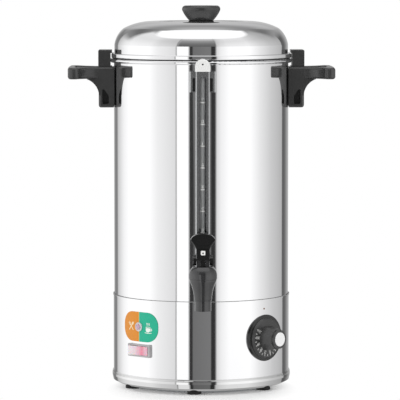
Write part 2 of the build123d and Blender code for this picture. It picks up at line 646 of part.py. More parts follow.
def make_gauge():
    """Glass tube in its slotted guard, the windowed saddle, the cap, the union and the seals."""
    front = TANK_RADIUS + GUARD_DEPTH
    tank = upright(TANK_RADIUS + FIT, 0, THROUGH)
    root = TANK_RADIUS - GUARD_DEPTH / 2

    def channel(width, reach, low, high, corner):
        outline = Pos(0, -(reach + root) / 2) * Rectangle(width, reach - root)
        outline = fillet(outline.vertices().group_by(Axis.Y)[0], corner)
        return extrude(Pos(0, 0, low) * outline, high - low)

    guard = channel(GUARD_WIDTH, front, union_top, cap_bottom, GUARD_BEND)
    guard -= channel(GUARD_WIDTH - 2 * GUARD_SHEET, front - GUARD_SHEET, 0, THROUGH,
                     GUARD_BEND - GUARD_SHEET * 0.6)
    slot_low = union_top + GUARD_SLOT_MARGIN
    slot_high = cap_bottom - GUARD_SLOT_MARGIN
    slot = Plane.XZ * Pos(0, (slot_low + slot_high) / 2, TANK_RADIUS + GUARD_DEPTH / 2) * extrude(
        SlotOverall(slot_high - slot_low, GUARD_SLOT, rotation=90), GUARD_DEPTH)
    saddle_low = cap_bottom - SADDLE_HEIGHT
    plate_room = upright(TANK_RADIUS + FIT + SADDLE_SHEET, saddle_low - FIT, cap_bottom)
    save(guard - slot - tank - plate_room, "gauge_guard")

    saddle = channel(SADDLE_WIDTH, TANK_RADIUS + SADDLE_DEPTH, saddle_low, cap_bottom, 2.0)
    saddle -= channel(GUARD_WIDTH + 2 * FIT, front + FIT, 0, THROUGH, GUARD_BEND) - plate_room
    window_x = (GUARD_WIDTH + SADDLE_WIDTH) / 4
    for side in (-1, 1):
        saddle -= Plane.XZ * Pos(side * window_x, cap_bottom - SADDLE_HEIGHT / 2 + 2) * extrude(
            RectangleRounded(WINDOW_WIDTH, WINDOW_HEIGHT, WINDOW_WIDTH / 5), THROUGH)
    save(saddle - tank, "gauge_saddle")

    seal_radius = TUBE_RADIUS + GAUGE_SEAL
    cap_front = front + CAP_PROUD
    clear_of_rim = rim_radius + CAP_PROUD
    half = CAP_WIDTH / 2
    straight = CAP_HEIGHT - half
    arch = make_face([
        Line((-half, 0), (half, 0)),
        Line((half, 0), (half, straight)),
        ThreePointArc((half, straight), (0, CAP_HEIGHT), (-half, straight)),
        Line((-half, straight), (-half, 0)),
    ])
    cap = Plane.XZ * Pos(0, cap_bottom, root) * extrude(arch, cap_front - root)
    cap = fillet(cap.faces().sort_by(Axis.Y)[0].edges().filter_by(
        lambda e: e.center().Z > cap_bottom + FIT), CAP_EDGE)
    cap -= tank + upright(clear_of_rim, RIM_TOP - RIM_BEAD - HOOK_CLEARANCE, THROUGH)
    bore = Pos(0, tube_y, 0)
    cap -= bore * upright(seal_radius, cap_bottom - 1, tube_top)
    cap -= bore * upright(TUBE_RADIUS - TUBE_WALL, tube_top - 1, cap_bottom + straight + 4)
    cap -= Plane.XZ * Pos(0, cap_bottom + straight + 3, -tube_y) * extrude(Circle(CAP_HOLE_RADIUS), THROUGH)
    save(cap, "gauge_cap")

    save(bore * pipe(TUBE_RADIUS, TUBE_RADIUS - TUBE_WALL, tube_bottom, tube_top), "gauge_tube")
    seals = [bore * pipe(seal_radius, TUBE_RADIUS, low, high)
             for low, high in ((tube_bottom, union_top), (cap_bottom, tube_top))]
    save(Compound(children=seals), "gauge_seals")

    union = Plane.XZ * Pos(0, TAP_AXIS_Z, union_back) * extrude(
        Circle(SHANK_RADIUS + 4), union_front - union_back)
    union += bore * upright(UNION_RADIUS, TAP_AXIS_Z, union_top)
    union -= Plane.XZ * Pos(0, TAP_AXIS_Z) * extrude(Circle(SHANK_RADIUS), THROUGH)
    union -= bore * upright(seal_radius, tube_bottom, union_top + 1)
    union -= bore * upright(TUBE_RADIUS - TUBE_WALL, TAP_AXIS_Z, union_top)
    save(union, "gauge_union")


# ---------------------------------------------------------------- tap

def make_tap():
    """Moulded barrel with spout and shank, bonnet, washers and nut."""
    axis = Pos(0, tap_y, 0)
    neck = spout_bottom + SPOUT_STRAIGHT
    barrel_outline = [
        Line((SPOUT_BORE, spout_bottom), (SPOUT_RADIUS, spout_bottom)),
        Line((SPOUT_RADIUS, spout_bottom), (SPOUT_RADIUS, neck)),
        Line((SPOUT_RADIUS, neck), (SPOUT_RADIUS + 1, neck + 3)),
        ThreePointArc((SPOUT_RADIUS + 1, neck + 3),
                      ((SPOUT_RADIUS + BONNET_RADIUS) / 2 - 0.9, (neck + barrel_top) / 2 + 2),
                      (BONNET_RADIUS - 0.8, barrel_top - 1.5)),
        Line((BONNET_RADIUS - 0.8, barrel_top - 1.5), (BONNET_RADIUS - 0.8, barrel_top)),
        Line((BONNET_RADIUS - 0.8, barrel_top), (CHAMBER_RADIUS, barrel_top)),
        Line((CHAMBER_RADIUS, barrel_top), (CHAMBER_RADIUS, seat_level)),
        Line((CHAMBER_RADIUS, seat_level), (SPOUT_BORE, seat_level)),
        Line((SPOUT_BORE, seat_level), (SPOUT_BORE, spout_bottom)),
    ]
    barrel = axis * revolve(Plane.XZ * make_face(barrel_outline), Axis.Z)
    front_rib = Pos(0, tap_y, neck) * extrude(
        Pos(0, -SPOUT_RADIUS / 2 - 1.6) * Rectangle(3.0, SPOUT_RADIUS + 4), barrel_top - neck - 4)
    rib_cone = axis * turned((0, neck), (SPOUT_RADIUS + 2.0, neck), (BONNET_RADIUS + 0.4, barrel_top - 4),
                             (0, barrel_top - 4))
    barrel += front_rib & rib_cone
    shoulder = Plane.XZ * Pos(0, TAP_AXIS_Z, union_front) * extrude(
        Circle(SHANK_RADIUS + 3), -tap_y - union_front - 2)
    shank = Plane.XZ * Pos(0, TAP_AXIS_Z, shank_end) * extrude(Circle(SHANK_RADIUS), -tap_y - shank_end - 2)
    body = barrel + shoulder + shank
    body -= axis * upright(CHAMBER_RADIUS, seat_level, barrel_top + 1)
    body -= axis * upright(BONNET_RADIUS + FIT, barrel_top, bonnet_top)
    body -= axis * upright(SPOUT_BORE, spout_bottom - 1, seat_level + 1)
    body -= Plane.XZ * Pos(0, TAP_AXIS_Z, shank_end - 1) * extrude(Circle(SHANK_BORE), -tap_y - shank_end)
    body -= Pos(0, tube_y, 0) * upright(TUBE_RADIUS - TUBE_WALL, TAP_AXIS_Z, union_top)
    save(body, "tap_body")

    dome = [
        Line((0, barrel_top), (BONNET_RADIUS - 0.6, barrel_top)),
        Line((BONNET_RADIUS - 0.6, barrel_top), (BONNET_RADIUS, barrel_top + 1.6)),
        Line((BONNET_RADIUS, barrel_top + 1.6), (BONNET_RADIUS, barrel_top + 5)),
        ThreePointArc((BONNET_RADIUS, barrel_top + 5), (BONNET_RADIUS - 1.2, barrel_top + 11),
                      (BONNET_CROWN_RADIUS, bonnet_top)),
        Line((BONNET_CROWN_RADIUS, bonnet_top), (0, bonnet_top)),
        Line((0, bonnet_top), (0, barrel_top)),
    ]
    bonnet = revolve(Plane.XZ * make_face(dome), Axis.Z)
    bonnet -= upright(spring_room, barrel_top - 1, spring_top)
    bonnet -= upright(STEM_RADIUS + FIT, 0, THROUGH)
    ear_foot = Pos(0, (pin_z + bonnet_top) / 2 - 0.5) * Rectangle(
        2 * EAR_RADIUS, pin_z - bonnet_top + 1)
    ear_outline = Pos(0, pin_z) * Circle(EAR_RADIUS) + ear_foot
    ears = extrude(Plane.YZ * ear_outline, ear_outer, both=True)
    ears -= Box(2 * ear_inner, 4 * EAR_RADIUS, THROUGH)
    ears -= Plane.YZ * Pos(0, pin_z) * extrude(Circle(LEVER_PIN_RADIUS), THROUGH, both=True)
    bonnet += ears & upright(THROUGH, bonnet_top - 0.5, THROUGH)
    bonnet -= Pos(0, 0, bonnet_top) * Box(2 * ear_inner, 2 * tongue_half + 1, 2)
    save(axis * bonnet, "tap_bonnet")

    tank = upright(TANK_RADIUS, 0, THROUGH)
    inside = upright(tank_inside, 0, THROUGH)
    ring = Circle(SHANK_RADIUS + 4) - Circle(SHANK_RADIUS)
    outer = Plane.XZ * Pos(0, TAP_AXIS_Z, TANK_RADIUS - 4) * extrude(ring, WASHER_THICKNESS + 4) - tank
    inner = Plane.XZ * Pos(0, TAP_AXIS_Z, nut_front) * extrude(ring, 10) & inside
    save(Compound(children=[outer, inner]), "tap_washers")
    nut = hex_nut(SHANK_RADIUS, 3 * SHANK_RADIUS, TAP_NUT_THICKNESS)
    save(Plane.XZ * Pos(0, TAP_AXIS_Z, nut_front - TAP_NUT_THICKNESS) * nut, "tap_nut")


def make_tap_lever():
    """Upright lever with a dished paddle, its pin, and the stem with seat cup and spring."""
    axis = Pos(0, tap_y, 0)
    half_fork = FORK_WIDTH / 2
    half_neck = NECK_WIDTH / 2
    half_paddle = PADDLE_WIDTH / 2
    shoulder = lever_top - 1.6
    right = [
        Line((0, pin_z), (half_fork, pin_z)),
        Line((half_fork, pin_z), (half_fork - 1.0, pin_z + 4)),
        ThreePointArc((half_fork - 1.0, pin_z + 4), (half_neck + 0.5, neck_z - 4), (half_neck, neck_z)),
        ThreePointArc((half_neck, neck_z), (half_neck + 2.2, neck_z + 5.2), (half_paddle, paddle_widest)),
        ThreePointArc((half_paddle, paddle_widest), (half_paddle * 0.78, shoulder - 2.0),
                      (half_paddle * 0.45, shoulder + 0.4)),
        ThreePointArc((half_paddle * 0.45, shoulder + 0.4), (half_paddle * 0.24, lever_top - 0.3),
                      (0, lever_top)),
        Line((0, lever_top), (0, pin_z)),
    ]
    half = make_face(right)
    half = fillet([v for v in half.vertices() if abs(v.X - half_paddle) < 0.01], 2.0)
    outline = half + mirror(half, Plane.YZ)
    plate = extrude(Plane.XZ * outline, LEVER_THICKNESS / 2, both=True)
    plate = fillet(plate.faces().sort_by(Axis.Y)[0].edges().filter_by(
        lambda e: e.center().Z > pin_z + 1), LEVER_EDGE)
    dish = extrude(outline_of_dish(), LEVER_THICKNESS)
    plate -= Plane.XZ * Pos(0, 0, LEVER_THICKNESS / 2 - DISH_DEPTH) * dish
    cheek = Plane.YZ * Pos(0, pin_z) * extrude(Circle(FORK_CHEEK_RADIUS), half_fork, both=True)
    lever = plate + cheek
    lever -= Pos(0, 0, pin_z) * Box(2 * (ear_outer + SLIP), THROUGH, 2 * FORK_DEPTH)
    lever -= Plane.YZ * Pos(0, pin_z) * extrude(Circle(LEVER_PIN_RADIUS + FIT), THROUGH, both=True)
    save(axis * lever, "tap_lever")

    pin = Plane.YZ * Pos(0, pin_z) * extrude(Circle(LEVER_PIN_RADIUS), half_fork - 0.4, both=True)
    save(axis * pin, "lever_pin")

    tongue_low = pin_z - STEM_LIFT - SLIP - slot_radius - 1.6
    tongue_high = pin_z + slot_radius + 2.0
    stem = upright(STEM_RADIUS, seat_level + 2, tongue_low + 1)
    tongue = Pos(0, 0, tongue_low) * Box(2 * STEM_RADIUS, 2 * tongue_half, tongue_high - tongue_low,
                                         align=(Align.CENTER, Align.CENTER, Align.MIN))
    slot = Plane.YZ * Pos(0, pin_z - (STEM_LIFT + SLIP) / 2) * extrude(
        SlotCenterToCenter(STEM_LIFT + SLIP, 2 * slot_radius, rotation=90), THROUGH, both=True)
    save(axis * (stem + tongue - slot), "tap_stem")

    cup_top = spring_low - SLIP
    cup_radius = SPOUT_BORE + 2.2
    cup = turned((0, seat_level + FIT), (cup_radius, seat_level + FIT), (cup_radius, seat_level + 3),
                 (SPRING_RADIUS + 1, seat_level + 6), (SPRING_RADIUS + 1, cup_top), (0, cup_top))
    cup -= upright(STEM_RADIUS, seat_level + 2, THROUGH)
    save(axis * cup, "tap_seat_cup")

    rise = spring_top - spring_low - 2 * SPRING_WIRE - 0.1
    coil = Helix(pitch=rise / SPRING_TURNS, height=rise, radius=SPRING_RADIUS)
    wire = sweep(Plane(origin=coil @ 0, z_dir=coil % 0) * Circle(SPRING_WIRE), path=coil)
    save(axis * Pos(0, 0, spring_low + SPRING_WIRE) * wire, "tap_spring")


def outline_of_dish():
    """Recess in the front of the paddle, inside its raised rim."""
    half_paddle = PADDLE_WIDTH / 2 - DISH_RIM
    half_neck = NECK_WIDTH / 2
    low = neck_z + 5
    high = lever_top - DISH_RIM
    right = [
        Line((0, low), (half_neck - DISH_RIM + 1.2, low)),
        ThreePointArc((half_neck - DISH_RIM + 1.2, low), (half_neck + 0.9, (low + paddle_widest) / 2 - 0.6),
                      (half_paddle, paddle_widest)),
        ThreePointArc((half_paddle, paddle_widest), (half_paddle * 0.72, high - 2.2), (0, high)),
        Line((0, high), (0, low)),
    ]
    half = make_face(right)
    return half + mirror(half, Plane.YZ)



# ---------------------------------------------------------------- controls on the skirt

def on_skirt(solid):
    """Trim the back of a fitting to the round skirt."""
    return solid - upright(skirt_radius, 0, THROUGH)


def make_dial():
    """Thermostat with its screws, the fixed bezel, and the numbered knob with shaft and cap."""
    dial = facing(DIAL_ANGLE, 0, DIAL_Z)
    half_spacing = THERMOSTAT_SCREW_SPACING / 2
    bezel_front = skirt_radius + BEZEL_RISE
    bezel = peg(DIAL_RADIUS, skirt_radius - THERMOSTAT_DEPTH / 2, bezel_front)
    bezel = fillet(bezel.edges().group_by(Axis.Z)[-1], BEZEL_EDGE)
    bezel -= peg(half_spacing + 4, 0, THROUGH)
    save(on_skirt(dial * bezel), "dial_bezel")

    back = skirt_inside - 4 - THERMOSTAT_DEPTH
    body = dial * block(THERMOSTAT_SIZE, THERMOSTAT_SIZE, back, skirt_inside + 2, 2.0)
    body &= upright(skirt_inside - FIT, 0, SKIRT_TOP)
    body += dial * peg(THERMOSTAT_NECK_RADIUS, skirt_inside - 6, skirt_radius + THERMOSTAT_NECK_RISE)
    for side in (-1, 1):
        body += dial * Pos(side * 8, 0) * block(5, 0.8, back - 7, back)
    body -= dial * peg(THERMOSTAT_SHAFT_RADIUS + FIT, back + 6, THROUGH)
    screws = []
    seat = sqrt(skirt_radius ** 2 - (half_spacing - 3) ** 2) + GLUE
    for side in (-1, 1):
        spot = dial * Pos(side * half_spacing, 0)
        body -= spot * peg(THERMOSTAT_SCREW_RADIUS, seat - 10, THROUGH)
        screws.append(spot * Pos(0, 0, seat) * screw(THERMOSTAT_SCREW_RADIUS, 10, 2.9, THERMOSTAT_HEAD))
    save(body, "thermostat")
    save(Compound(children=screws), "thermostat_screws")

    skirt_low = bezel_front + SLIP
    skirt_high = skirt_low + KNOB_SKIRT_THICKNESS
    top = skirt_radius + KNOB_RISE
    knob = Pos(0, 0, skirt_low) * loft([
        Circle(KNOB_SKIRT_RADIUS), Pos(0, 0, KNOB_SKIRT_THICKNESS) * Circle(KNOB_FACE_RADIUS)])
    flat_turn = 180 / GRIP_FACETS
    knob += Pos(0, 0, skirt_high) * Rot(0, 0, flat_turn) * loft([
        RegularPolygon(GRIP_FOOT_RADIUS, GRIP_FACETS),
        Pos(0, 0, top - 3 - skirt_high) * RegularPolygon(GRIP_HEAD_RADIUS, GRIP_FACETS)])
    knob += peg(KNOB_TOP_RADIUS, top - 4, top)
    knob -= peg(KNOB_CAP_RADIUS, top - 2, top + 1)
    knob -= peg(THERMOSTAT_SHAFT_RADIUS, 0, top - 4)
    save(dial * knob, "thermostat_knob")
    cap = peg(KNOB_CAP_RADIUS, top - 2, top + 0.8)
    save(dial * fillet(cap.edges().group_by(Axis.Z)[-1], 0.7), "knob_cap")
    save(dial * peg(THERMOSTAT_SHAFT_RADIUS, back + 8, top - 4), "thermostat_shaft")


def make_badge_and_lamp():
    """Two-colour status plate that follows the skirt, with the pilot lamp in its middle."""
    panel = facing(PANEL_ANGLE, 0, BADGE_Z)
    face_radius = skirt_radius + BADGE_THICKNESS
    outline = Circle(BADGE_WIDTH / 2) & Rectangle(BADGE_WIDTH, BADGE_HEIGHT)
    outline = fillet(outline.vertices(), 2.0)
    plate = panel * extrude(outline, THROUGH)
    plate &= pipe(face_radius, skirt_radius + GLUE, 0, SKIRT_TOP)
    plate -= panel * peg(LAMP_RADIUS + FIT, 0, THROUGH)
    save(plate, "status_badge")
    body = peg(LAMP_RADIUS, skirt_inside - 18, face_radius + 1) + peg(
        LAMP_RADIUS + 1.6, face_radius + 0.02, face_radius + 1.4)
    nut = Pos(0, 0, skirt_inside - 4) * hex_nut(LAMP_RADIUS, 11, 3.0)
    save(panel * body, "lamp_body")
    save(panel * nut, "lamp_nut")
    lens = peg(LAMP_RADIUS - 0.4, face_radius + 1.4, face_radius + 3.6)
    save(panel * fillet(lens.edges().group_by(Axis.Z)[-1], 1.8), "lamp_lens")


def make_switch():
    """Snap-in rocker switch: housing with a raised frame, and the rocker on its two pivots."""
    spot = facing(PANEL_ANGLE, 0, SWITCH_Z)
    front = skirt_radius + SWITCH_RISE
    frame = spot * block(SWITCH_WIDTH, SWITCH_HEIGHT, skirt_radius - 8, front, 1.6)
    frame = on_skirt(fillet(frame.faces().sort_by(Axis(spot.origin, spot.z_dir))[-1].edges(), 0.6))
    box = spot * block(switch_body_width, switch_body_height, skirt_inside - SWITCH_DEPTH, front - 1)
    room = spot * block(ROCKER_WIDTH + 2 * SLIP, ROCKER_HEIGHT + 2 * SLIP, pivot_depth - ROCKER_ROOM, THROUGH)
    pivot = Plane(origin=(spot * Pos(0, 0, pivot_depth)).position, x_dir=spot.x_dir, z_dir=(0, 0, 1))
    holes = pivot * extrude(Circle(PIVOT_RADIUS + FIT), ROCKER_HEIGHT / 2 + SLIP + 0.9, both=True)
    tab_root = skirt_inside - SWITCH_DEPTH
    tabs = Part()
    for side in (-1, 0, 1):
        tabs += spot * Pos(side * 9, 0) * block(0.8, 6.3, tab_root - 8, tab_root)
    save(frame + box + tabs - room - holes, "switch_housing")


def make_rocker():
    """Rocker with round ends about its pivot, so that it sweeps clear of the housing."""
    spot = facing(PANEL_ANGLE, 0, SWITCH_Z)
    lean = ROCKER_WIDTH / 2 * sin(radians(ROCKER_TILT))
    half = ROCKER_WIDTH / 2
    crest = skirt_radius + SWITCH_RISE + 0.6 - pivot_depth
    band = make_face(Polyline((-half - 1, -3), (half + 1, -3), (half + 1, crest + lean * (half + 1) / half),
                              (0, crest), (-half - 1, crest + lean * (half + 1) / half), close=True))
    section = Circle(half) & band
    bar = Rot(90, 0, 0) * extrude(section, ROCKER_HEIGHT / 2, both=True)
    bar += Rot(90, 0, 0) * extrude(Circle(PIVOT_RADIUS), ROCKER_HEIGHT / 2 + SLIP + 0.7, both=True)
    save(spot * Pos(0, 0, pivot_depth) * Rot(0, ROCKER_TILT, 0) * bar, "switch_rocker")


def make_inlet():
    """Screwed power inlet on the back: flanged housing, three pins and two screws."""
    spot = facing(INLET_ANGLE, 0, INLET_Z)
    front = skirt_radius + INLET_RISE
    flange = spot * block(INLET_WIDTH, INLET_HEIGHT, skirt_radius - 8, front, 4.0)
    flange = on_skirt(flange)
    box = spot * block(inlet_body_width, inlet_body_height, skirt_inside - INLET_DEPTH, front - 1)
    w, h, cut = SOCKET_WIDTH / 2, SOCKET_HEIGHT / 2, 4.5
    mouth = make_face(Polyline((-w, -h), (w, -h), (w, h - cut), (w - cut, h), (cut - w, h), (-w, h - cut),
                               close=True))
    socket = spot * extrude(Pos(0, 0, front - SOCKET_DEPTH) * mouth, SOCKET_DEPTH + 2)
    pins, screws = [], []
    tab_root = skirt_inside - INLET_DEPTH
    for x, y in ((-7, -2), (0, 2), (7, -2)):
        pins.append(spot * Pos(x, y) * block(2.0, 4.0, front - SOCKET_DEPTH - 3, front - 5))
        pins.append(spot * Pos(x, y) * block(6.3, 0.8, tab_root - 8, tab_root))
    housing = flange + box - socket
    for pin in pins:
        housing -= pin
    for side in (-1, 1):
        hole = spot * Pos(side * INLET_SCREW_SPACING / 2, 0)
        housing -= hole * peg(INLET_SCREW_RADIUS, 0, THROUGH)
        screws.append(hole * Pos(0, 0, front) * screw(INLET_SCREW_RADIUS, 12, 2.9, 1.8))
    save(housing, "power_inlet")
    save(Compound(children=pins), "inlet_pins")
    save(Compound(children=screws), "inlet_screws")


# ---------------------------------------------------------------- heater and inner parts

def make_heater():
    """Spreader plate, element loop, clamp with stud and nut, cut-out, bulb and capillary."""
    plate_low = floor_under - SPREADER_THICKNESS
    plate = upright(SPREADER_RADIUS, plate_low, floor_under) - upright(HEATER_STUD_RADIUS, 0, THROUGH)
    save(plate, "heat_spreader")

    tube_z = plate_low - ELEMENT_TUBE
    loop = revolve(Plane.XZ * Pos(ELEMENT_RADIUS, tube_z) * Circle(ELEMENT_TUBE), Axis.Z, ELEMENT_SPAN)
    for angle in (0, ELEMENT_SPAN):
        end = Rot(0, 0, angle) * Pos(ELEMENT_RADIUS, 0, tube_z)
        loop += end * (Sphere(ELEMENT_TUBE - 0.2) + upright(ELEMENT_TUBE - 0.6, -ELEMENT_LEG, 0))
        loop += end * block(6.3, 0.8, -ELEMENT_LEG - 8, -ELEMENT_LEG + 0.5)
    save(Rot(0, 0, 90 + (360 - ELEMENT_SPAN) / 2) * loop, "heating_element")

    clamp_top = tube_z - ELEMENT_TUBE
    bar = block(2 * (ELEMENT_RADIUS + ELEMENT_TUBE), 16, clamp_top - CLAMP_THICKNESS, clamp_top)
    bar -= upright(HEATER_STUD_RADIUS, 0, THROUGH)
    save(bar, "clamp_bar")
    save(upright(HEATER_STUD_RADIUS, clamp_top - CLAMP_THICKNESS - 8, floor_under), "heater_stud")
    save(Pos(0, 0, clamp_top - CLAMP_THICKNESS - 5) * hex_nut(HEATER_STUD_RADIUS, 10, 5), "heater_nut")

    cutout = upright(CUTOUT_RADIUS - 2, plate_low - 9, plate_low - 1.5) + upright(
        CUTOUT_RADIUS, plate_low - 1.5, plate_low)
    for side in (-1, 1):
        cutout += Pos(side * 4, 0, 0) * block(0.8, 6.3, plate_low - 17, plate_low - 9)
    save(Pos(0, CUTOUT_RADIUS + 14, 0) * cutout, "boil_dry_cutout")


def make_sensor():
    """Thermostat bulb under the edge of the floor, and the capillary tube down to its case."""
    dial = facing(DIAL_ANGLE, 0, DIAL_Z)
    edge = tank_inside - FIT - 12
    slope = FLOOR_DISH / (edge - SPREADER_RADIUS - 3)
    under_bulb = floor_under + (bulb_offset - SPREADER_RADIUS - 3 - BULB_RADIUS) * slope
    level = under_bulb - BULB_RADIUS - DIAL_Z - 0.1
    half = BULB_LENGTH / 2
    bulb = dial * Pos(0, level, bulb_offset) * Rot(0, 90, 0) * Cylinder(BULB_RADIUS, BULB_LENGTH)
    save(bulb, "thermostat_bulb")
    turn = half + 14
    route = FilletPolyline((half, level, bulb_offset), (turn, level, bulb_offset),
                           (turn, level - 16, bulb_offset + 3), (8, level - 18, bulb_offset + 8),
                           (8, THERMOSTAT_SIZE / 2, bulb_offset + 8), radius=5)
    tube = sweep(Plane(origin=route @ 0, z_dir=route % 0) * Circle(CAPILLARY_RADIUS), path=route)
    save(dial * tube, "thermostat_capillary")


def make_wiring_points():
    """Terminal block and earth stud on the bottom cover."""
    cover_top = shelf_top + SHEET
    base = Pos(0, TERMINAL_Y, cover_top)
    case = base * Box(40, 16, 14, align=(Align.CENTER, Align.CENTER, Align.MIN))
    case = fillet(case.edges().filter_by(Axis.Z), 1.5)
    for column in range(3):
        x = (column - 1) * 12
        case -= base * Pos(x, 0, 6) * upright(3.0, 0, 20)
        for side in (-1, 1):
            case -= base * Pos(x, side * 6, 5) * Box(7, 8, 5)
    save(case, "terminal_block")
    spot = Pos(34, TERMINAL_Y, 0)
    save(spot * (upright(5, cover_top, cover_top + 1) + upright(2, cover_top, cover_top + 14)), "earth_stud")
    save(spot * Pos(0, 0, cover_top + 1) * hex_nut(2.0, 7.0, 3.2), "earth_nut")


make_tank()
make_base()
make_lid()
make_handles()
make_gauge()
make_tap()
make_tap_lever()
make_dial()
make_badge_and_lamp()
make_switch()
make_rocker()
make_inlet()
make_heater()
make_sensor()
make_wiring_points()
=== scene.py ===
"""Hot water urn in polished stainless steel, with its controls, gauge and tap, in a plain pale studio."""
import math

import bmesh
import bpy
from mathutils import Matrix, Vector


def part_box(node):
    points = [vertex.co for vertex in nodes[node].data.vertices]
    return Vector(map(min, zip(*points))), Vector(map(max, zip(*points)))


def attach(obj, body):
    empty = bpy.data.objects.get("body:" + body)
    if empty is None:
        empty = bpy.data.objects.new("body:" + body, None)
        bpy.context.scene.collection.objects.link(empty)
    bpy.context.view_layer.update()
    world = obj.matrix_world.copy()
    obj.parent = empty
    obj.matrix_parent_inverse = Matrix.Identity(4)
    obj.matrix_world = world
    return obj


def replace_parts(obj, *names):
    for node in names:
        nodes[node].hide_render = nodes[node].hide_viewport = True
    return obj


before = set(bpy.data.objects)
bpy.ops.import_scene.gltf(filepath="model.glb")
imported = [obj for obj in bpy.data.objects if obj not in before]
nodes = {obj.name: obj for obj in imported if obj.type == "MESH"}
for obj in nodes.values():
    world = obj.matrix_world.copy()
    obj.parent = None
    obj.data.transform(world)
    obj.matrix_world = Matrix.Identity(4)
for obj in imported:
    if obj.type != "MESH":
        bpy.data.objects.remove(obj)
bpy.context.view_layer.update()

# ---- Camera ----
# A long lens stands almost four metres off, a little above the lid, and looks slightly down.
camera_distance = 3.93
camera_height = 0.54
camera_side = -0.0585
aim_side = -0.0015
aim_height = 0.234
focal_pixels = 3115
picture_pixels = 400

camera_data = bpy.data.cameras.new("studio_camera")
camera_data.sensor_fit = "HORIZONTAL"
camera_data.sensor_width = 36.0
camera_data.lens = 36.0 * focal_pixels / picture_pixels
camera_data.clip_end = 50
camera = bpy.data.objects.new("studio_camera", camera_data)
bpy.context.scene.collection.objects.link(camera)
camera.location = (camera_side, -camera_distance, camera_height)
aim = Vector((aim_side, 0, aim_height)) - camera.location
camera.rotation_euler = aim.to_track_quat("-Z", "Y").to_euler()
bpy.context.scene.camera = camera
bpy.context.scene.view_settings.view_transform = "Standard"


# ---- Studio ----
# White paper sweeps under and round the urn. Tall white walls and narrow black flags stand round
# it, and only the polished metal, the glass and the gloss plastics see those.
def linear(hex_code, alpha=1.0):
    """Linear colour of an sRGB hex value."""
    parts = [int(hex_code[i:i + 2], 16) / 255 for i in (1, 3, 5)]
    return tuple(c / 12.92 if c <= 0.04045 else ((c + 0.055) / 1.055) ** 2.4 for c in parts) + (alpha,)


def add(tree, kind, settings=None, sockets=None, links=None, stops=None):
    """Add one shader node: its properties, its socket values, the outputs that feed its sockets, and
    a colour ramp's (position, grey or colour) stops."""
    new = tree.nodes.new(kind)
    for name, value in (settings or {}).items():
        setattr(new, name, value)
    for name, value in (sockets or {}).items():
        new.inputs[name].default_value = value
    for name, output in (links or {}).items():
        tree.links.new(output, new.inputs[name])
    if stops:
        marks = new.color_ramp.elements
        while len(marks) < len(stops):
            marks.new(1.0)
        for mark, (position, shade) in zip(marks, stops):
            mark.position = position
            mark.color = shade if isinstance(shade, tuple) else (shade, shade, shade, 1)
    return new


# Greys of the walls, each with its direction in degrees from the front, positive to the right. A
# dark flag with black edges stands ahead, from -16 to 18, with a thin grey post to its left at -34.
# Behind, dark flags at -155 and 139 give the tank's sides their shading.
wall_greys = [
    (-180, 0.55), (-170, 0.45), (-161, 0.23), (-148.5, 0.20), (-144.5, 0.55), (-134, 0.72), (-124, 0.88),
    (-110, 1.0), (-74, 1.0), (-60, 0.84), (-34.4, 0.70), (-34, 0.28), (-33.2, 0.28), (-32.8, 1.0),
    (-17.7, 1.0), (-16, 0.035), (-12.5, 0.035), (-11.5, 0.15), (11.4, 0.18), (12.2, 0.03),
    (17.9, 0.03), (19.1, 0.66), (25, 0.84), (36, 0.98), (66, 1.0), (84, 0.77), (105, 0.575),
    (133.2, 0.43), (135, 0.11), (143, 0.12), (160, 0.38), (180, 0.55),
]
world = bpy.data.worlds.new("studio")
bpy.context.scene.world = world
world.use_nodes = True
sky = world.node_tree
sky.nodes.clear()
direction = add(sky, "ShaderNodeTexCoord").outputs["Generated"]
split = add(sky, "ShaderNodeSeparateXYZ", links={"Vector": direction})
back_y = add(sky, "ShaderNodeMath", {"operation": "MULTIPLY"}, {1: -1.0}, {0: split.outputs["Y"]})
turn = add(sky, "ShaderNodeMath", {"operation": "ARCTAN2"},
           links={0: split.outputs["X"], 1: back_y.outputs[0]})
turn_share = add(sky, "ShaderNodeMapRange", sockets={"From Min": -math.pi, "From Max": math.pi},
                 links={"Value": turn.outputs[0]}).outputs["Result"]
rise_share = add(sky, "ShaderNodeMapRange", sockets={"From Min": -1.0, "From Max": 1.0},
                 links={"Value": split.outputs["Z"]}).outputs["Result"]


def round_greys(greys):
    """Grey by direction, from (degrees from the front, positive to the right; grey) pairs."""
    stops = [((angle + 180) / 360, grey) for angle, grey in greys]
    return add(sky, "ShaderNodeValToRGB", links={"Fac": turn_share}, stops=stops).outputs["Color"]


def height_greys(greys):
    """Grey by height, from (degrees above the horizon; grey) pairs."""
    stops = [((math.sin(math.radians(angle)) + 1) / 2, grey) for angle, grey in greys]
    return add(sky, "ShaderNodeValToRGB", links={"Fac": rise_share}, stops=stops).outputs["Color"]


over = {"data_type": "RGBA", "blend_type": "MIX"}
times = {"data_type": "RGBA", "blend_type": "MULTIPLY"}

# The walls dim towards their tops. In front they reach up to the soft box, behind they end lower.
walls = round_greys(wall_greys)
wall_fall = height_greys([(-30, 0.75), (-12, 0.86), (-7, 1.0), (2, 1.0), (15, 0.88), (24, 0.80),
                          (35, 0.72), (50, 0.76)])
dimmed = add(sky, "ShaderNodeMix", times, {"Factor": 1.0}, {"A": walls, "B": wall_fall}).outputs["Result"]
in_front = round_greys([(-126, 0.0), (-114, 1.0), (116, 1.0), (128, 0.0)])
low_top = height_greys([(16, 1.0), (26, 0.0)])
high_top = height_greys([(52, 1.0), (58, 0.0)])
wall_share = add(sky, "ShaderNodeMix", over,
                 links={"Factor": in_front, "A": low_top, "B": high_top}).outputs["Result"]
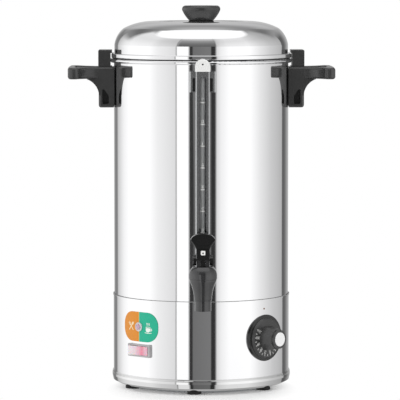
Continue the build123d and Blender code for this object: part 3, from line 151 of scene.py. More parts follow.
# Above the walls the room is dim, most of all to the sides of the back.
gap_height = height_greys([(16, 0.66), (24, 0.50), (30, 0.42), (37, 0.30), (42, 0.28), (50, 0.38),
                           (62, 0.50)])
gap_round = round_greys([(-172, 1.0), (-150, 0.5), (-128, 0.5), (-112, 0.7), (112, 0.7), (128, 0.55),
                         (150, 0.6), (172, 1.0)])
gap = add(sky, "ShaderNodeMix", times, {"Factor": 1.0}, {"A": gap_height, "B": gap_round}).outputs["Result"]
# A grey panel hangs ahead of the urn between the walls and the soft box.
panel_round = round_greys([(-35, 0.0), (-32, 1.0), (17.5, 1.0), (21, 0.0)])
panel_height = height_greys([(11, 0.0), (16, 1.0)])
panel_share = add(sky, "ShaderNodeMix", times, {"Factor": 1.0},
                  {"A": panel_round, "B": panel_height}).outputs["Result"]
panel_grey = height_greys([(15, 0.085), (20, 0.11), (30, 0.19), (40, 0.30), (46, 0.5)])
# The overhead soft box is an oval sheet of light, measured where it crosses a level one metre up.
box_reach = Vector((0.86, 0.62))
box_forward = 0.20
lowest_rise = 0.05
level = add(sky, "ShaderNodeMath", {"operation": "MAXIMUM"}, {1: lowest_rise}, {0: split.outputs["Z"]})
overhead = add(sky, "ShaderNodeVectorMath", {"operation": "DIVIDE"},
               links={0: direction, 1: level.outputs[0]})
in_box = add(sky, "ShaderNodeMapping",
             sockets={"Location": (0, 0.5 * box_forward / box_reach.y, 0),
                      "Scale": (0.5 / box_reach.x, 0.5 / box_reach.y, 0)},
             links={"Vector": overhead.outputs[0]})
from_middle = add(sky, "ShaderNodeVectorMath", {"operation": "LENGTH"}, links={0: in_box.outputs[0]})
box_share = add(sky, "ShaderNodeValToRGB", links={"Fac": from_middle.outputs["Value"]},
                stops=[(0.46, 1.0), (0.54, 0.0)]).outputs["Color"]
box_light = add(sky, "ShaderNodeRGB").outputs[0]
box_light.default_value = (1, 1, 1, 1)
seen = add(sky, "ShaderNodeMix", over, links={"Factor": wall_share, "A": gap, "B": dimmed}).outputs["Result"]
seen = add(sky, "ShaderNodeMix", over,
           links={"Factor": panel_share, "A": seen, "B": panel_grey}).outputs["Result"]
seen = add(sky, "ShaderNodeMix", over,
           links={"Factor": box_share, "A": seen, "B": box_light}).outputs["Result"]
room_strength = 0.72
wall_strength = 1.07
light_path = add(sky, "ShaderNodeLightPath")
mirror_ray = add(sky, "ShaderNodeMath", {"operation": "MAXIMUM"},
                 links={0: light_path.outputs["Is Glossy Ray"], 1: light_path.outputs["Is Transmission Ray"]})
plain = add(sky, "ShaderNodeBackground", sockets={"Color": (1, 1, 1, 1), "Strength": room_strength})
paper_white = add(sky, "ShaderNodeBackground", sockets={"Color": (1, 1, 1, 1), "Strength": 1.0})
studio_wall = add(sky, "ShaderNodeBackground", sockets={"Strength": wall_strength}, links={"Color": seen})
for_mirrors = add(sky, "ShaderNodeMixShader",
                  links={0: mirror_ray.outputs[0], 1: plain.outputs[0], 2: studio_wall.outputs[0]})
for_camera = add(sky, "ShaderNodeMixShader", links={0: light_path.outputs["Is Camera Ray"],
                                                    1: for_mirrors.outputs[0], 2: paper_white.outputs[0]})
add(sky, "ShaderNodeOutputWorld", links={"Surface": for_camera.outputs[0]})

# The paper keeps the shadow close to the feet, and further off it fades to the room's white.
floor_radius = 1.6
floor_sides = 96
shadow_ends = (0.11, 0.155)
floor_mesh = bpy.data.meshes.new("paper_floor")
floor_rim = []
for i in range(floor_sides):
    a = math.tau * i / floor_sides
    floor_rim.append((floor_radius * math.cos(a), floor_radius * math.sin(a), 0))
floor_mesh.from_pydata(floor_rim, [], [list(range(floor_sides))])
floor = bpy.data.objects.new("paper_floor", floor_mesh)
bpy.context.scene.collection.objects.link(floor)
paper = bpy.data.materials.new("white_paper")
paper.use_nodes = True
tree = paper.node_tree
tree.nodes.clear()
place = add(tree, "ShaderNodeTexCoord").outputs["Object"]
ahead = add(tree, "ShaderNodeMapping", sockets={"Location": (0, 0.05, 0), "Scale": (1.3, 1, 1)},
            links={"Vector": place})
distance = add(tree, "ShaderNodeVectorMath", {"operation": "LENGTH"}, links={0: ahead.outputs[0]})
fade = add(tree, "ShaderNodeValToRGB", links={"Fac": distance.outputs["Value"]},
           stops=[(shadow_ends[0], 0.0), (shadow_ends[1], 1.0)])
lit = add(tree, "ShaderNodeBsdfDiffuse", sockets={"Color": linear("#FCFCFC")})
glow = add(tree, "ShaderNodeEmission", sockets={"Color": (1, 1, 1, 1), "Strength": 1.0})
away = add(tree, "ShaderNodeMixShader",
           links={0: fade.outputs["Color"], 1: lit.outputs[0], 2: glow.outputs[0]})
add(tree, "ShaderNodeOutputMaterial", links={"Surface": away.outputs[0]})
floor.data.materials.append(paper)
floor.visible_glossy = False


def soft_box(name, spot, aim_at, size, power):
    """Rectangular lamp that faces a point."""
    data = bpy.data.lights.new(name, "AREA")
    data.shape = "RECTANGLE"
    data.size, data.size_y = size
    data.energy = power
    lamp = bpy.data.objects.new(name, data)
    lamp.location = spot
    lamp.rotation_euler = (Vector(aim_at) - Vector(spot)).to_track_quat("-Z", "Y").to_euler()
    lamp.visible_glossy = False
    lamp.visible_transmission = False
    bpy.context.scene.collection.objects.link(lamp)


soft_box("key_left", (-1.6, -1.8, 1.5), (0, 0, 0.25), (1.2, 1.2), 16)
soft_box("fill_right", (1.9, -1.3, 1.1), (0, 0, 0.25), (1.2, 1.2), 9)
soft_box("overhead", (0, 0.1, 2.4), (0, 0, 0.2), (1.6, 1.6), 12)


# ---- Stainless tank, skirt and lid ----
# Sheet of 18/10 stainless steel, rolled and welded, then buffed to a mirror. The sheet is not
# quite flat, so long reflections waver a little, and buffing leaves the faintest upright haze.
def metal(name, colour, roughness, waver, haze):
    """Bare metal with a slow unevenness of the sheet and a fine haze in its gloss."""
    material = bpy.data.materials.new(name)
    material.use_nodes = True
    tree = material.node_tree
    shader = tree.nodes["Principled BSDF"]
    shader.inputs["Base Color"].default_value = linear(colour)
    shader.inputs["Metallic"].default_value = 1.0
    place = add(tree, "ShaderNodeTexCoord").outputs["Object"]
    stretched = add(tree, "ShaderNodeMapping", sockets={"Scale": (1.0, 1.0, 0.12)}, links={"Vector": place})
    fine = add(tree, "ShaderNodeTexNoise", sockets={"Scale": 900.0, "Detail": 3.0},
               links={"Vector": stretched.outputs[0]})
    gloss = add(tree, "ShaderNodeMapRange", sockets={"To Min": roughness - haze, "To Max": roughness + haze},
                links={"Value": fine.outputs["Fac"]})
    tree.links.new(gloss.outputs["Result"], shader.inputs["Roughness"])
    slow = add(tree, "ShaderNodeTexNoise", sockets={"Scale": 14.0, "Detail": 1.0},
               links={"Vector": stretched.outputs[0]})
    bump = add(tree, "ShaderNodeBump", sockets={"Strength": 1.0, "Distance": waver},
               links={"Height": slow.outputs["Fac"]})
    tree.links.new(bump.outputs["Normal"], shader.inputs["Normal"])
    return material


def dress(material, *names):
    """Give CAD nodes their finish."""
    for name in names:
        slots = nodes[name].data.materials
        slots.clear()
        slots.append(material)


mirror_steel = metal("buffed_stainless", "#FAFAFB", 0.045, 0.00006, 0.02)
dress(mirror_steel, "tank_shell", "base_skirt", "lid", "tank_floor")


# ---- Bright trim ----
# The pressed ring round the base and the turned union under the gauge have bright nickel-chrome
# plating, which is harder and cleaner than the buffed tank and mirrors with less haze.
chrome = metal("bright_chrome_plate", "#F3F3F3", 0.05, 0.00002, 0.012)
dress(chrome, "base_ring", "gauge_union")


# ---- Gauge guard and saddle ----
# The guard is a folded channel round the tube. The saddle is a bent plate each side of it, with one
# upright window, spot-welded to the tank. Both are stainless with a satin finish from a fine belt.
satin = metal("satin_stainless", "#BFC0C1", 0.26, 0.00001, 0.04)
dress(satin, "gauge_guard")

saddle_low, saddle_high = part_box("gauge_saddle")
guard_gap = 0.0001
guard_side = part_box("gauge_guard")[1][0] + guard_gap
saddle_side = saddle_high[0]
saddle_front = saddle_low[1]
saddle_root = saddle_high[1]
saddle_sheet = 0.001
bend_radius = 0.002
bend_steps = 4
window_inset = 0.0003
window_width = 0.0033
window_foot = 0.0012
window_height = 0.016
window_edges = (guard_side + window_inset, guard_side + window_inset + window_width)
window_rows = (saddle_low[2] + window_foot, saddle_low[2] + window_foot + window_height)
plan = [(guard_side, saddle_front), (window_edges[0], saddle_front), (window_edges[1], saddle_front)]
for i in range(bend_steps + 1):
    a = math.radians(90 * i / bend_steps)
    plan.append((saddle_side - bend_radius * (1 - math.sin(a)),
                 saddle_front + bend_radius * (1 - math.cos(a))))
plan.append((saddle_side, saddle_root))
rows = [saddle_low[2], window_rows[0], window_rows[1], saddle_high[2]]
wings = bmesh.new()
for side in (-1, 1):
    grid = [[wings.verts.new((side * x, y, z)) for x, y in plan] for z in rows]
    for r in range(len(rows) - 1):
        for c in range(len(plan) - 1):
            if (r, c) == (1, 1):
                continue
            corners = [grid[r][c], grid[r][c + 1], grid[r + 1][c + 1], grid[r + 1][c]]
            wings.faces.new(corners if side > 0 else corners[::-1])
wing_mesh = bpy.data.meshes.new("saddle_wings")
wings.to_mesh(wing_mesh)
wings.free()


def finished(name, mesh, material, body="urn"):
    """Link a mesh as a named piece with its material, riding on a body."""
    piece = bpy.data.objects.new(name, mesh)
    bpy.context.scene.collection.objects.link(piece)
    mesh.materials.clear()
    mesh.materials.append(material)
    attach(piece, body)
    return piece


wing_piece = finished("saddle_wings", wing_mesh, satin)
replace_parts(wing_piece, "gauge_saddle")
sheet = wing_piece.modifiers.new("sheet", "SOLIDIFY")
sheet.thickness = saddle_sheet
sheet.offset = -1


# ---- Underside, clamp and fasteners ----
# The bottom cover, the heater's clamp and the thermostat's case are galvanised sheet, with the zinc's
# dull flowers. Screws, nuts, pins and shafts are turned steel with clear zinc plating.
def zinc(name, colour, flower_size, roughness):
    """Zinc-coated steel whose grey changes from crystal to crystal."""
    material = bpy.data.materials.new(name)
    material.use_nodes = True
    tree = material.node_tree
    shader = tree.nodes["Principled BSDF"]
    shader.inputs["Metallic"].default_value = 1.0
    place = add(tree, "ShaderNodeTexCoord").outputs["Object"]
    flowers = add(tree, "ShaderNodeTexVoronoi", {"feature": "F1"}, {"Scale": 1 / flower_size},
                  {"Vector": place})
    grey = add(tree, "ShaderNodeSeparateColor", links={"Color": flowers.outputs["Color"]})
    dark = tuple(0.82 * c for c in linear(colour)[:3]) + (1,)
    tone = add(tree, "ShaderNodeValToRGB", links={"Fac": grey.outputs[0]},
               stops=[(0.0, dark), (1.0, linear(colour))])
    tree.links.new(tone.outputs["Color"], shader.inputs["Base Color"])
    gloss = add(tree, "ShaderNodeMapRange", sockets={"To Min": roughness - 0.07, "To Max": roughness + 0.07},
                links={"Value": grey.outputs[1]})
    tree.links.new(gloss.outputs["Result"], shader.inputs["Roughness"])
    return material


galvanised = zinc("galvanised_sheet", "#B4B7BA", 0.006, 0.42)
dress(galvanised, "bottom_cover", "clamp_bar", "thermostat")
plated = zinc("zinc_plated_steel", "#C6C8C9", 0.0015, 0.3)
dress(plated, "foot_screws", "foot_nuts", "knob_screw", "handle_screws", "lever_pin",
      "thermostat_screws", "thermostat_shaft", "inlet_screws", "heater_stud", "heater_nut")
wire = zinc("drawn_spring_wire", "#9FA2A5", 0.0008, 0.25)
dress(wire, "tap_spring")


# ---- Rubber feet and seals ----
# Feet, lid seal and knob washer are black nitrile rubber moulded in a bead-blasted tool. The gauge's
# and the tap's seals are soft silicone of a milky grey. Both scatter most light, with a fine grain.
def moulded(name, colour, roughness, grain, depth, ior=1.5, unevenness=0.12):
    """Moulded polymer: a faint cloudiness of colour and the tool's grain in its surface."""
    material = bpy.data.materials.new(name)
    material.use_nodes = True
    tree = material.node_tree
    shader = tree.nodes["Principled BSDF"]
    shader.inputs["IOR"].default_value = ior
    place = add(tree, "ShaderNodeTexCoord").outputs["Object"]
    cloud = add(tree, "ShaderNodeTexNoise", sockets={"Scale": 60.0, "Detail": 2.0}, links={"Vector": place})
    base = linear(colour)
    dark = tuple(c * (1 - unevenness) for c in base[:3]) + (1,)
    light = tuple(min(1, c * (1 + unevenness)) for c in base[:3]) + (1,)
    tone = add(tree, "ShaderNodeValToRGB", links={"Fac": cloud.outputs["Fac"]},
               stops=[(0.3, dark), (0.7, light)])
    tree.links.new(tone.outputs["Color"], shader.inputs["Base Color"])
    fine = add(tree, "ShaderNodeTexNoise", sockets={"Scale": 1 / grain, "Detail": 2.0},
               links={"Vector": place})
    gloss = add(tree, "ShaderNodeMapRange", sockets={"To Min": roughness * 0.85, "To Max": roughness * 1.15},
                links={"Value": fine.outputs["Fac"]})
    tree.links.new(gloss.outputs["Result"], shader.inputs["Roughness"])
    bump = add(tree, "ShaderNodeBump", sockets={"Strength": 1.0, "Distance": depth},
               links={"Height": fine.outputs["Fac"]})
    tree.links.new(bump.outputs["Normal"], shader.inputs["Normal"])
    return material


foot_rubber = moulded("black_nitrile_rubber", "#1B1B1B", 0.72, 0.0006, 0.00004)
dress(foot_rubber, "feet", "lid_seal", "knob_washer")
# Painted shade: a dark plate of the black rubber behind each window of the saddle keeps the tank's bright
# wall from showing, so each window reads as dark shade.
shade_plate_depth = 0.0022
shade_plate_inner = window_edges[0] - 0.0002
shade_plate_outer = window_edges[1] + 0.0008
shade_plate_low = window_rows[0] - 0.0008
shade_plate_high = window_rows[1] + 0.0008
shade_plate_front = saddle_front + saddle_sheet
shade_plate_bevel = 0.0003
shade_plates = bmesh.new()
for side in (-1, 1):
    left, right = sorted((side * shade_plate_inner, side * shade_plate_outer))
    for v in bmesh.ops.create_cube(shade_plates, size=1.0)["verts"]:
        x = left if v.co.x < 0 else right
        y = shade_plate_front if v.co.y < 0 else shade_plate_front + shade_plate_depth
        z = shade_plate_low if v.co.z < 0 else shade_plate_high
        v.co = Vector((x, y, z))
bmesh.ops.bevel(shade_plates, geom=shade_plates.edges[:], offset=shade_plate_bevel, segments=2, affect="EDGES")
shade_plate_mesh = bpy.data.meshes.new("window_painted_shade")
shade_plates.to_mesh(shade_plate_mesh)
shade_plates.free()
# The plates behind the saddle's windows are painted shade.
finished("window_painted_shade", shade_plate_mesh, foot_rubber)
silicone = moulded("milky_silicone", "#C9C4B8", 0.55, 0.0008, 0.00002, ior=1.43)
dress(silicone, "gauge_seals", "tap_washers", "tap_seat_cup")


# ---- Knob and handles ----
# Compression-moulded phenolic, black all through, with the tool's polish on it: a deep gloss in
# which the flow of the powder shows only as a slow unevenness.
phenolic = moulded("gloss_phenolic", "#363636", 0.24, 0.03, 0.00001, ior=1.62, unevenness=0.12)
dress(phenolic, "lid_knob", "handle_right", "handle_left")

# The brackets under the handles are steel pressings stove-enamelled black.
enamel = moulded("black_stove_enamel", "#161616", 0.35, 0.002, 0.000005, ior=1.55)
dress(enamel, "handle_brackets")


# ---- Joint between the tank and the base ----
# The tank stands in the skirt, whose top edge leaves a narrow ledge round it. A thin grey bead on the outer
# part of that ledge is painted shadow: it stands in for the dark line of shade in the joint, and has a dull
# even skin.
# Painted shadow: a dull grey ring drawn as the dark line of shade where the tank meets the skirt.
seam_shadow_paint = moulded("painted_seam_shadow_grey", "#949494", 0.6, 0.002, 0.000004, unevenness=0.05)
skirt_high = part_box("base_skirt")[1]
bead_inset = 0.0008
bead_proud = 0.00004
bead_gap = 0.00002
bead_steps = 160
bead_inner = skirt_high[0] - bead_inset
bead_outer = skirt_high[0] + bead_proud
bead_low = skirt_high[2] + bead_gap
bead_high = bead_low + 0.0005
bead = bmesh.new()
loops = []
bead_profile = [(bead_inner, bead_low), (bead_outer, bead_low),
                (bead_outer, bead_high), (bead_inner, bead_high)]
for radius, z in bead_profile:
    loop = []
    for i in range(bead_steps):
        a = math.tau * i / bead_steps
        loop.append(bead.verts.new((radius * math.cos(a), radius * math.sin(a), z)))
    loops.append(loop)
for loop, after in zip(loops, loops[1:] + loops[:1]):
    for i in range(bead_steps):
        j = (i + 1) % bead_steps
        bead.faces.new((loop[i], loop[j], after[j], after[i]))
bead_mesh = bpy.data.meshes.new("painted_seam_shadow")
bead.to_mesh(bead_mesh)
bead.free()
finished("painted_seam_shadow", bead_mesh, seam_shadow_paint)


# ---- Sight gauge tube ----
# Drawn borosilicate tube with fired white marks: a ring every litre with its number above it. The
# draw leaves faint upright streaks, and the wall looks denser where it is seen edge on.
glass = bpy.data.materials.new("borosilicate_glass")
glass.use_nodes = True
tree = glass.node_tree
shader = tree.nodes["Principled BSDF"]
shader.inputs["IOR"].default_value = 1.47
place = add(tree, "ShaderNodeTexCoord").outputs["Object"]
drawn = add(tree, "ShaderNodeMapping", sockets={"Scale": (1.0, 1.0, 0.02)}, links={"Vector": place})
streak = add(tree, "ShaderNodeTexNoise", sockets={"Scale": 500.0, "Detail": 1.0},
             links={"Vector": drawn.outputs[0]})
tint = add(tree, "ShaderNodeValToRGB", links={"Fac": streak.outputs["Fac"]},
           stops=[(0.3, linear("#B9BCBC")), (0.7, linear("#DADCDC"))])
tree.links.new(tint.outputs["Color"], shader.inputs["Base Color"])
gloss = add(tree, "ShaderNodeMapRange", sockets={"To Min": 0.03, "To Max": 0.07},
            links={"Value": streak.outputs["Fac"]})
tree.links.new(gloss.outputs["Result"], shader.inputs["Roughness"])
edge_on = add(tree, "ShaderNodeLayerWeight", sockets={"Blend": 0.5})
body_of_wall = add(tree, "ShaderNodeValToRGB", links={"Fac": edge_on.outputs["Facing"]},
                   stops=[(0.0, 0.66), (0.3, 0.7), (0.6, 0.95), (1.0, 1.0)])
tree.links.new(body_of_wall.outputs["Color"], shader.inputs["Alpha"])
dress(glass, "gauge_tube")

cap_plastic = moulded("white_acetal", "#E6E6E5", 0.22, 0.002, 0.000002, ior=1.55, unevenness=0.03)
dress(cap_plastic, "gauge_cap")

white_ink = moulded("fired_white_enamel", "#FAFAF8", 0.5, 0.002, 0.000002, unevenness=0.03)
tube_low, tube_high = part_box("gauge_tube")
tube_radius = (tube_high[0] - tube_low[0]) / 2
tube_axis = Vector(((tube_low[0] + tube_high[0]) / 2, (tube_low[1] + tube_high[1]) / 2, 0))
ink_thickness = 0.00012
top_mark = 0.363
litre_pitch = 0.0267
litre_marks = 7
top_number = 9
ring_length = 2.6 * tube_radius
ring_height = 0.0018
number_height = 0.0036
number_rise = 0.0034
number_boldness = 0.00045
capital_share = 0.7


def lettering(text, height, thickness, boldness=0.0):
    """Flat mesh of a short text, centred on the origin, reading along X with its top toward Y."""
    curve = bpy.data.curves.new("lettering", "FONT")
    curve.body = text
    curve.align_x = "CENTER"
    curve.align_y = "CENTER"
    curve.size = height / capital_share
    curve.extrude = thickness / 2
    curve.resolution_u = 3
    curve.offset = boldness
    holder = bpy.data.objects.new("lettering", curve)
    mesh = bpy.data.meshes.new_from_object(holder)
    bpy.data.objects.remove(holder)
    bpy.data.curves.remove(curve)
    return mesh


def wrapped(bm, axis, radius, azimuth=0.0, height=0.0):
    """Bend flat artwork (X across, Y up, Z outward) round an upright cylinder."""
    for v in bm.verts:
        angle = azimuth + v.co.x / radius
        out = radius + v.co.z
        v.co = Vector((axis.x + out * math.sin(angle), axis.y - out * math.cos(angle), height + v.co.y))


def strip(width, height, thickness, columns):
    """Thin bar of artwork centred on the origin, cut into columns so that it can bend."""
    bm = bmesh.new()
    bmesh.ops.create_grid(bm, x_segments=columns, y_segments=1, size=0.5)
    for v in bm.verts:
        v.co = Vector((v.co.x * width, v.co.y * height, 0))
    shell = bmesh.ops.extrude_face_region(bm, geom=bm.faces[:])
    for v in [g for g in shell["geom"] if isinstance(g, bmesh.types.BMVert)]:
        v.co.z = thickness
    bmesh.ops.recalc_face_normals(bm, faces=bm.faces[:])
    return bm


marks = bmesh.new()
for step in range(litre_marks):
    mark_level = top_mark - step * litre_pitch
    ring = strip(ring_length, ring_height, ink_thickness, 12)
    wrapped(ring, tube_axis, tube_radius, height=mark_level)
    flat = bpy.data.meshes.new("mark")
    ring.to_mesh(flat)
    ring.free()
    marks.from_mesh(flat)
    digit = lettering(str(top_number - step), number_height, ink_thickness, number_boldness)
    letter = bmesh.new()
    letter.from_mesh(digit)
    wrapped(letter, tube_axis, tube_radius + ink_thickness / 2, height=mark_level + number_rise)
    letter.to_mesh(digit)
    letter.free()
    marks.from_mesh(digit)
mark_mesh = bpy.data.meshes.new("gauge_marks")
marks.to_mesh(mark_mesh)
marks.free()
finished("gauge_marks", mark_mesh, white_ink)


# ---- Tap ----
# Body, bonnet and nut are moulded in glass-filled nylon, dark grey with a wet gloss. Lever and stem are
# polished black acetal. A thin apron closes the lever's fork in front and carries a small white mark.
nylon = moulded("glass_filled_nylon", "#2A2A2B", 0.13, 0.004, 0.000004, ior=1.75, unevenness=0.12)
dress(nylon, "tap_body", "tap_bonnet", "tap_nut")
acetal = moulded("polished_acetal", "#0C0C0C", 0.12, 0.03, 0.00001, ior=1.7, unevenness=0.2)
dress(acetal, "tap_lever", "tap_stem")

mark_size = 0.0054
mark_height = 0.1812
mark_proud = 0.00025
mark_lift = 0.000012


def plate_with_hole(outline, hole, thickness):
    """Flat artwork between two closed outlines, with its front toward Z."""
    curve = bpy.data.curves.new("plate", "CURVE")
    curve.dimensions = "2D"
    curve.fill_mode = "BOTH"
    curve.extrude = thickness / 2
    for points in (outline, hole):
        if not points:
            continue
        line = curve.splines.new("POLY")
        line.points.add(len(points) - 1)
        for point, (x, y) in zip(line.points, points):
            point.co = (x, y, 0, 1)
        line.use_cyclic_u = True
    holder = bpy.data.objects.new("plate", curve)
    mesh = bpy.data.meshes.new_from_object(holder)
    bpy.data.objects.remove(holder)
    bpy.data.curves.remove(curve)
    return mesh


def rounded_square(size, power=4, steps=40):
    """Outline of a square with soft corners."""
    points = []
    for i in range(steps):
        a = math.tau * i / steps
        c, s = math.cos(a), math.sin(a)
        reach = size / 2 / (abs(c) ** power + abs(s) ** power) ** (1 / power)
        points.append((reach * c, reach * s))
    return points


def drop(size, steps=32):
    """Outline of a water drop with its point up."""
    points = []
    for i in range(steps):
        a = math.tau * i / steps
        pinch = math.sin(a / 2) ** 1.5
        points.append((size * 0.55 * math.sin(a) * pinch, size * 0.5 * math.cos(a)))
    return points


def facing_out(azimuth, distance, height):
    """Matrix that lays flat artwork on the urn's side: X across, Y up, Z outward."""
    a = math.radians(azimuth)
    across, outward = Vector((math.cos(a), math.sin(a), 0)), Vector((math.sin(a), -math.cos(a), 0))
    rotation = Matrix((across, Vector((0, 0, 1)), outward)).transposed().to_4x4()
    return Matrix.Translation(distance * outward + Vector((0, 0, height))) @ rotation


white_inlay = moulded("white_inlay", "#EDEDEA", 0.35, 0.0005, 0.00001, unevenness=0.03)
pin_low, pin_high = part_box("lever_pin")
pin_z = (pin_low[2] + pin_high[2]) / 2
lever_front = -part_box("tap_lever")[0][1]
apron_width = 0.0158
apron_depth = 0.0012
apron_front = lever_front + 0.25 * apron_depth
apron_low = pin_z + 0.0005
apron_high = pin_z + 0.0135
apron_arch = 0.0022
arch_roundness = 0.96
apron = strip(2, 2, apron_depth, 16)
for v in apron.verts:
    u, top = v.co.x, v.co.y > 0
    arch = apron_arch * (1 - math.sqrt(1 - min(1, u * u) * arch_roundness))
    v.co.x = u * apron_width / 2
    v.co.y = apron_high if top else apron_low + arch
apron_mesh = bpy.data.meshes.new("lever_apron")
apron.to_mesh(apron_mesh)
apron.free()
apron_mesh.transform(facing_out(0, apron_front - apron_depth, 0))
finished("lever_apron", apron_mesh, acetal, "tap_lever")
mark = plate_with_hole(rounded_square(mark_size, 9), drop(mark_size * 0.5), 2 * mark_proud)
mark.transform(facing_out(0, apron_front + mark_lift, mark_height))
finished("lever_mark", mark, white_inlay, "tap_lever")


# ---- Thermostat dial ----
# Urea resin in satin black, with tampo-printed white figures on the knob's skirt. A disc of spun
# aluminium is pressed into the knob's end.
dial_azimuth = 45
dial_height = 0.068
dial_face = 0.1154
urea = moulded("satin_urea_resin", "#3C3C3C", 0.3, 0.0008, 0.00002, ior=1.55, unevenness=0.12)
dress(urea, "thermostat_knob")
bezel_gloss = moulded("gloss_urea_resin", "#141414", 0.14, 0.003, 0.000004, ior=1.62, unevenness=0.12)
dress(bezel_gloss, "dial_bezel", "power_inlet")

spun = metal("spun_aluminium", "#FFFFFF", 0.4, 0.00001, 0.06)
spun.node_tree.nodes["Principled BSDF"].inputs["Metallic"].default_value = 0.5
dress(spun, "knob_cap")

figure_ink = moulded("white_printing_ink", "#C2C2C0", 0.6, 0.0004, 0.000005, unevenness=0.05)
figure_height = 0.0034
figure_circle = 0.0178
tick_circle = 0.0214
tick_size = Vector((0.0010, 0.0026))
first_figure_angle = 148
figure_pitch = 27
figure_proud = 0.00012
figure_boldness = 0.00012
figures = bmesh.new()
for step, value in enumerate(range(110, 20, -10)):
    angle = math.radians(first_figure_angle + step * figure_pitch)
    text = lettering(str(value), figure_height, 2 * figure_proud, figure_boldness)
    spoke = Matrix.Rotation(angle + math.pi, 4, "Z")
    spot = Matrix.Translation((figure_circle * math.cos(angle), figure_circle * math.sin(angle), 0))
    text.transform(facing_out(dial_azimuth, dial_face, dial_height) @ spot @ spoke)
    figures.from_mesh(text)
    for share in (0, 0.5):
        turned = math.radians(first_figure_angle + (step + share) * figure_pitch)
        tick = strip(tick_size.x, tick_size.y, figure_proud, 1)
        tick_mesh = bpy.data.meshes.new("tick")
        tick.to_mesh(tick_mesh)
        tick.free()
        spot = Matrix.Translation((tick_circle * math.cos(turned), tick_circle * math.sin(turned), 0))
        tick_mesh.transform(facing_out(dial_azimuth, dial_face, dial_height) @ spot
                            @ Matrix.Rotation(turned - math.pi / 2, 4, "Z"))
        figures.from_mesh(tick_mesh)
figure_mesh = bpy.data.meshes.new("dial_figures")
figures.to_mesh(figure_mesh)
figures.free()
finished("dial_figures", figure_mesh, figure_ink, "thermostat_knob")

# The index is a small domed dot of amber paint on the skirt above the dial. The skirt's wall lies
# 0.5 mm inside the skirt's box, because the box takes in the step round its top.
skirt_radius = 0.1109
index_height = 0.1045
index_radius = 0.0012
index_azimuth = 44
index_peak = 0.00045
index_profile = [(0.55, 0.0004), (0.9, 0.0002), (1.0, -0.0002)]
columns = 20
index = bmesh.new()
peak = index.verts.new((0, 0, index_peak))
loops = []
for share, z in index_profile:
    loop = []
    for i in range(columns):
        a = math.tau * i / columns
        loop.append(index.verts.new((index_radius * share * math.cos(a),
                                     index_radius * share * math.sin(a), z)))
    loops.append(loop)
for i in range(columns):
    j = (i + 1) % columns
    index.faces.new((peak, loops[0][i], loops[0][j]))
    for inner, outer in zip(loops, loops[1:]):
        index.faces.new((inner[i], outer[i], outer[j], inner[j]))
index.faces.new(list(reversed(loops[-1])))
index_mesh = bpy.data.meshes.new("dial_index")
index.to_mesh(index_mesh)
index.free()
index_mesh.transform(facing_out(index_azimuth, skirt_radius, index_height))
index_paint = moulded("amber_index_paint", "#7A5238", 0.4, 0.0005, 0.00001, unevenness=0.08)
finished("dial_index", index_mesh, index_paint)


# ---- Status badge and pilot lamp ----
# Screen-printed aluminium plate, orange for heating on the left and green for ready on the right,
# under a clear varnish. The lamp is a pale pink polycarbonate lens in a grey collar.
badge_azimuth = -44.6
badge_height = 0.0821
badge_size = Vector((0.058, 0.037))
badge_corner = 0.0165
badge_thickness = 0.0008
badge_face = skirt_radius + badge_thickness
divider_reach = 0.0008
urn_axis = Vector((0, 0, 0))


def across_badge(tree, place, reach):
    """Share from 0 to 1 across the badge, left to right, over a reach each side of its middle."""
    a = math.radians(badge_azimuth)
    across = add(tree, "ShaderNodeVectorMath", {"operation": "DOT_PRODUCT"},
                 {1: (math.cos(a), math.sin(a), 0)}, {0: place})
    return add(tree, "ShaderNodeMapRange", sockets={"From Min": -reach, "From Max": reach},
               links={"Value": across.outputs["Value"]}).outputs["Result"]


badge = bpy.data.materials.new("screen_printed_badge")
badge.use_nodes = True
tree = badge.node_tree
shader = tree.nodes["Principled BSDF"]
shader.inputs["Roughness"].default_value = 0.4
shader.inputs["Coat Weight"].default_value = 0.15
shader.inputs["Coat Roughness"].default_value = 0.12
place = add(tree, "ShaderNodeTexCoord").outputs["Object"]
heating_orange = linear("#DE8A12")
ready_green = linear("#00B08C")
colours = add(tree, "ShaderNodeValToRGB", links={"Fac": across_badge(tree, place, divider_reach)},
              stops=[(0.0, heating_orange), (0.25, heating_orange), (0.35, linear("#CDC58C")),
                     (0.65, linear("#A9D2A6")), (0.75, ready_green), (1.0, ready_green)])
screen = add(tree, "ShaderNodeTexNoise", sockets={"Scale": 350.0, "Detail": 2.0}, links={"Vector": place})
fleck = add(tree, "ShaderNodeMapRange", sockets={"To Min": 0.94, "To Max": 1.04},
            links={"Value": screen.outputs["Fac"]})
printed = add(tree, "ShaderNodeVectorMath", {"operation": "SCALE"},
              links={0: colours.outputs["Color"], "Scale": fleck.outputs["Result"]})
tree.links.new(printed.outputs["Vector"], shader.inputs["Base Color"])


def oval_plate(size, corner, thickness, columns=48):
    """Plate with large round corners, cut into columns so that it can bend, its front toward Z."""
    bm = strip(2, 2, thickness, columns)
    for v in bm.verts:
        x = size.x / 2 * math.sin(v.co.x * math.pi / 2)
        past = max(0, abs(x) - (size.x / 2 - corner))
        half = size.y / 2 - corner + math.sqrt(max(0, corner ** 2 - past ** 2))
        v.co.x, v.co.y = x, math.copysign(half, v.co.y)
    return bm


plate = oval_plate(badge_size, badge_corner, badge_thickness)
wrapped(plate, urn_axis, badge_face - badge_thickness, math.radians(badge_azimuth), badge_height)
plate_mesh = bpy.data.meshes.new("badge_plate")
plate.to_mesh(plate_mesh)
plate.free()
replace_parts(finished("badge_plate", plate_mesh, badge), "status_badge")

badge_ink = moulded("white_screen_ink", "#F2F5F0", 0.45, 0.0004, 0.000005, unevenness=0.03)
cream_ink = moulded("cream_screen_ink", "#F3DDB4", 0.45, 0.0004, 0.000005, unevenness=0.03)
ink_proud = 0.00012


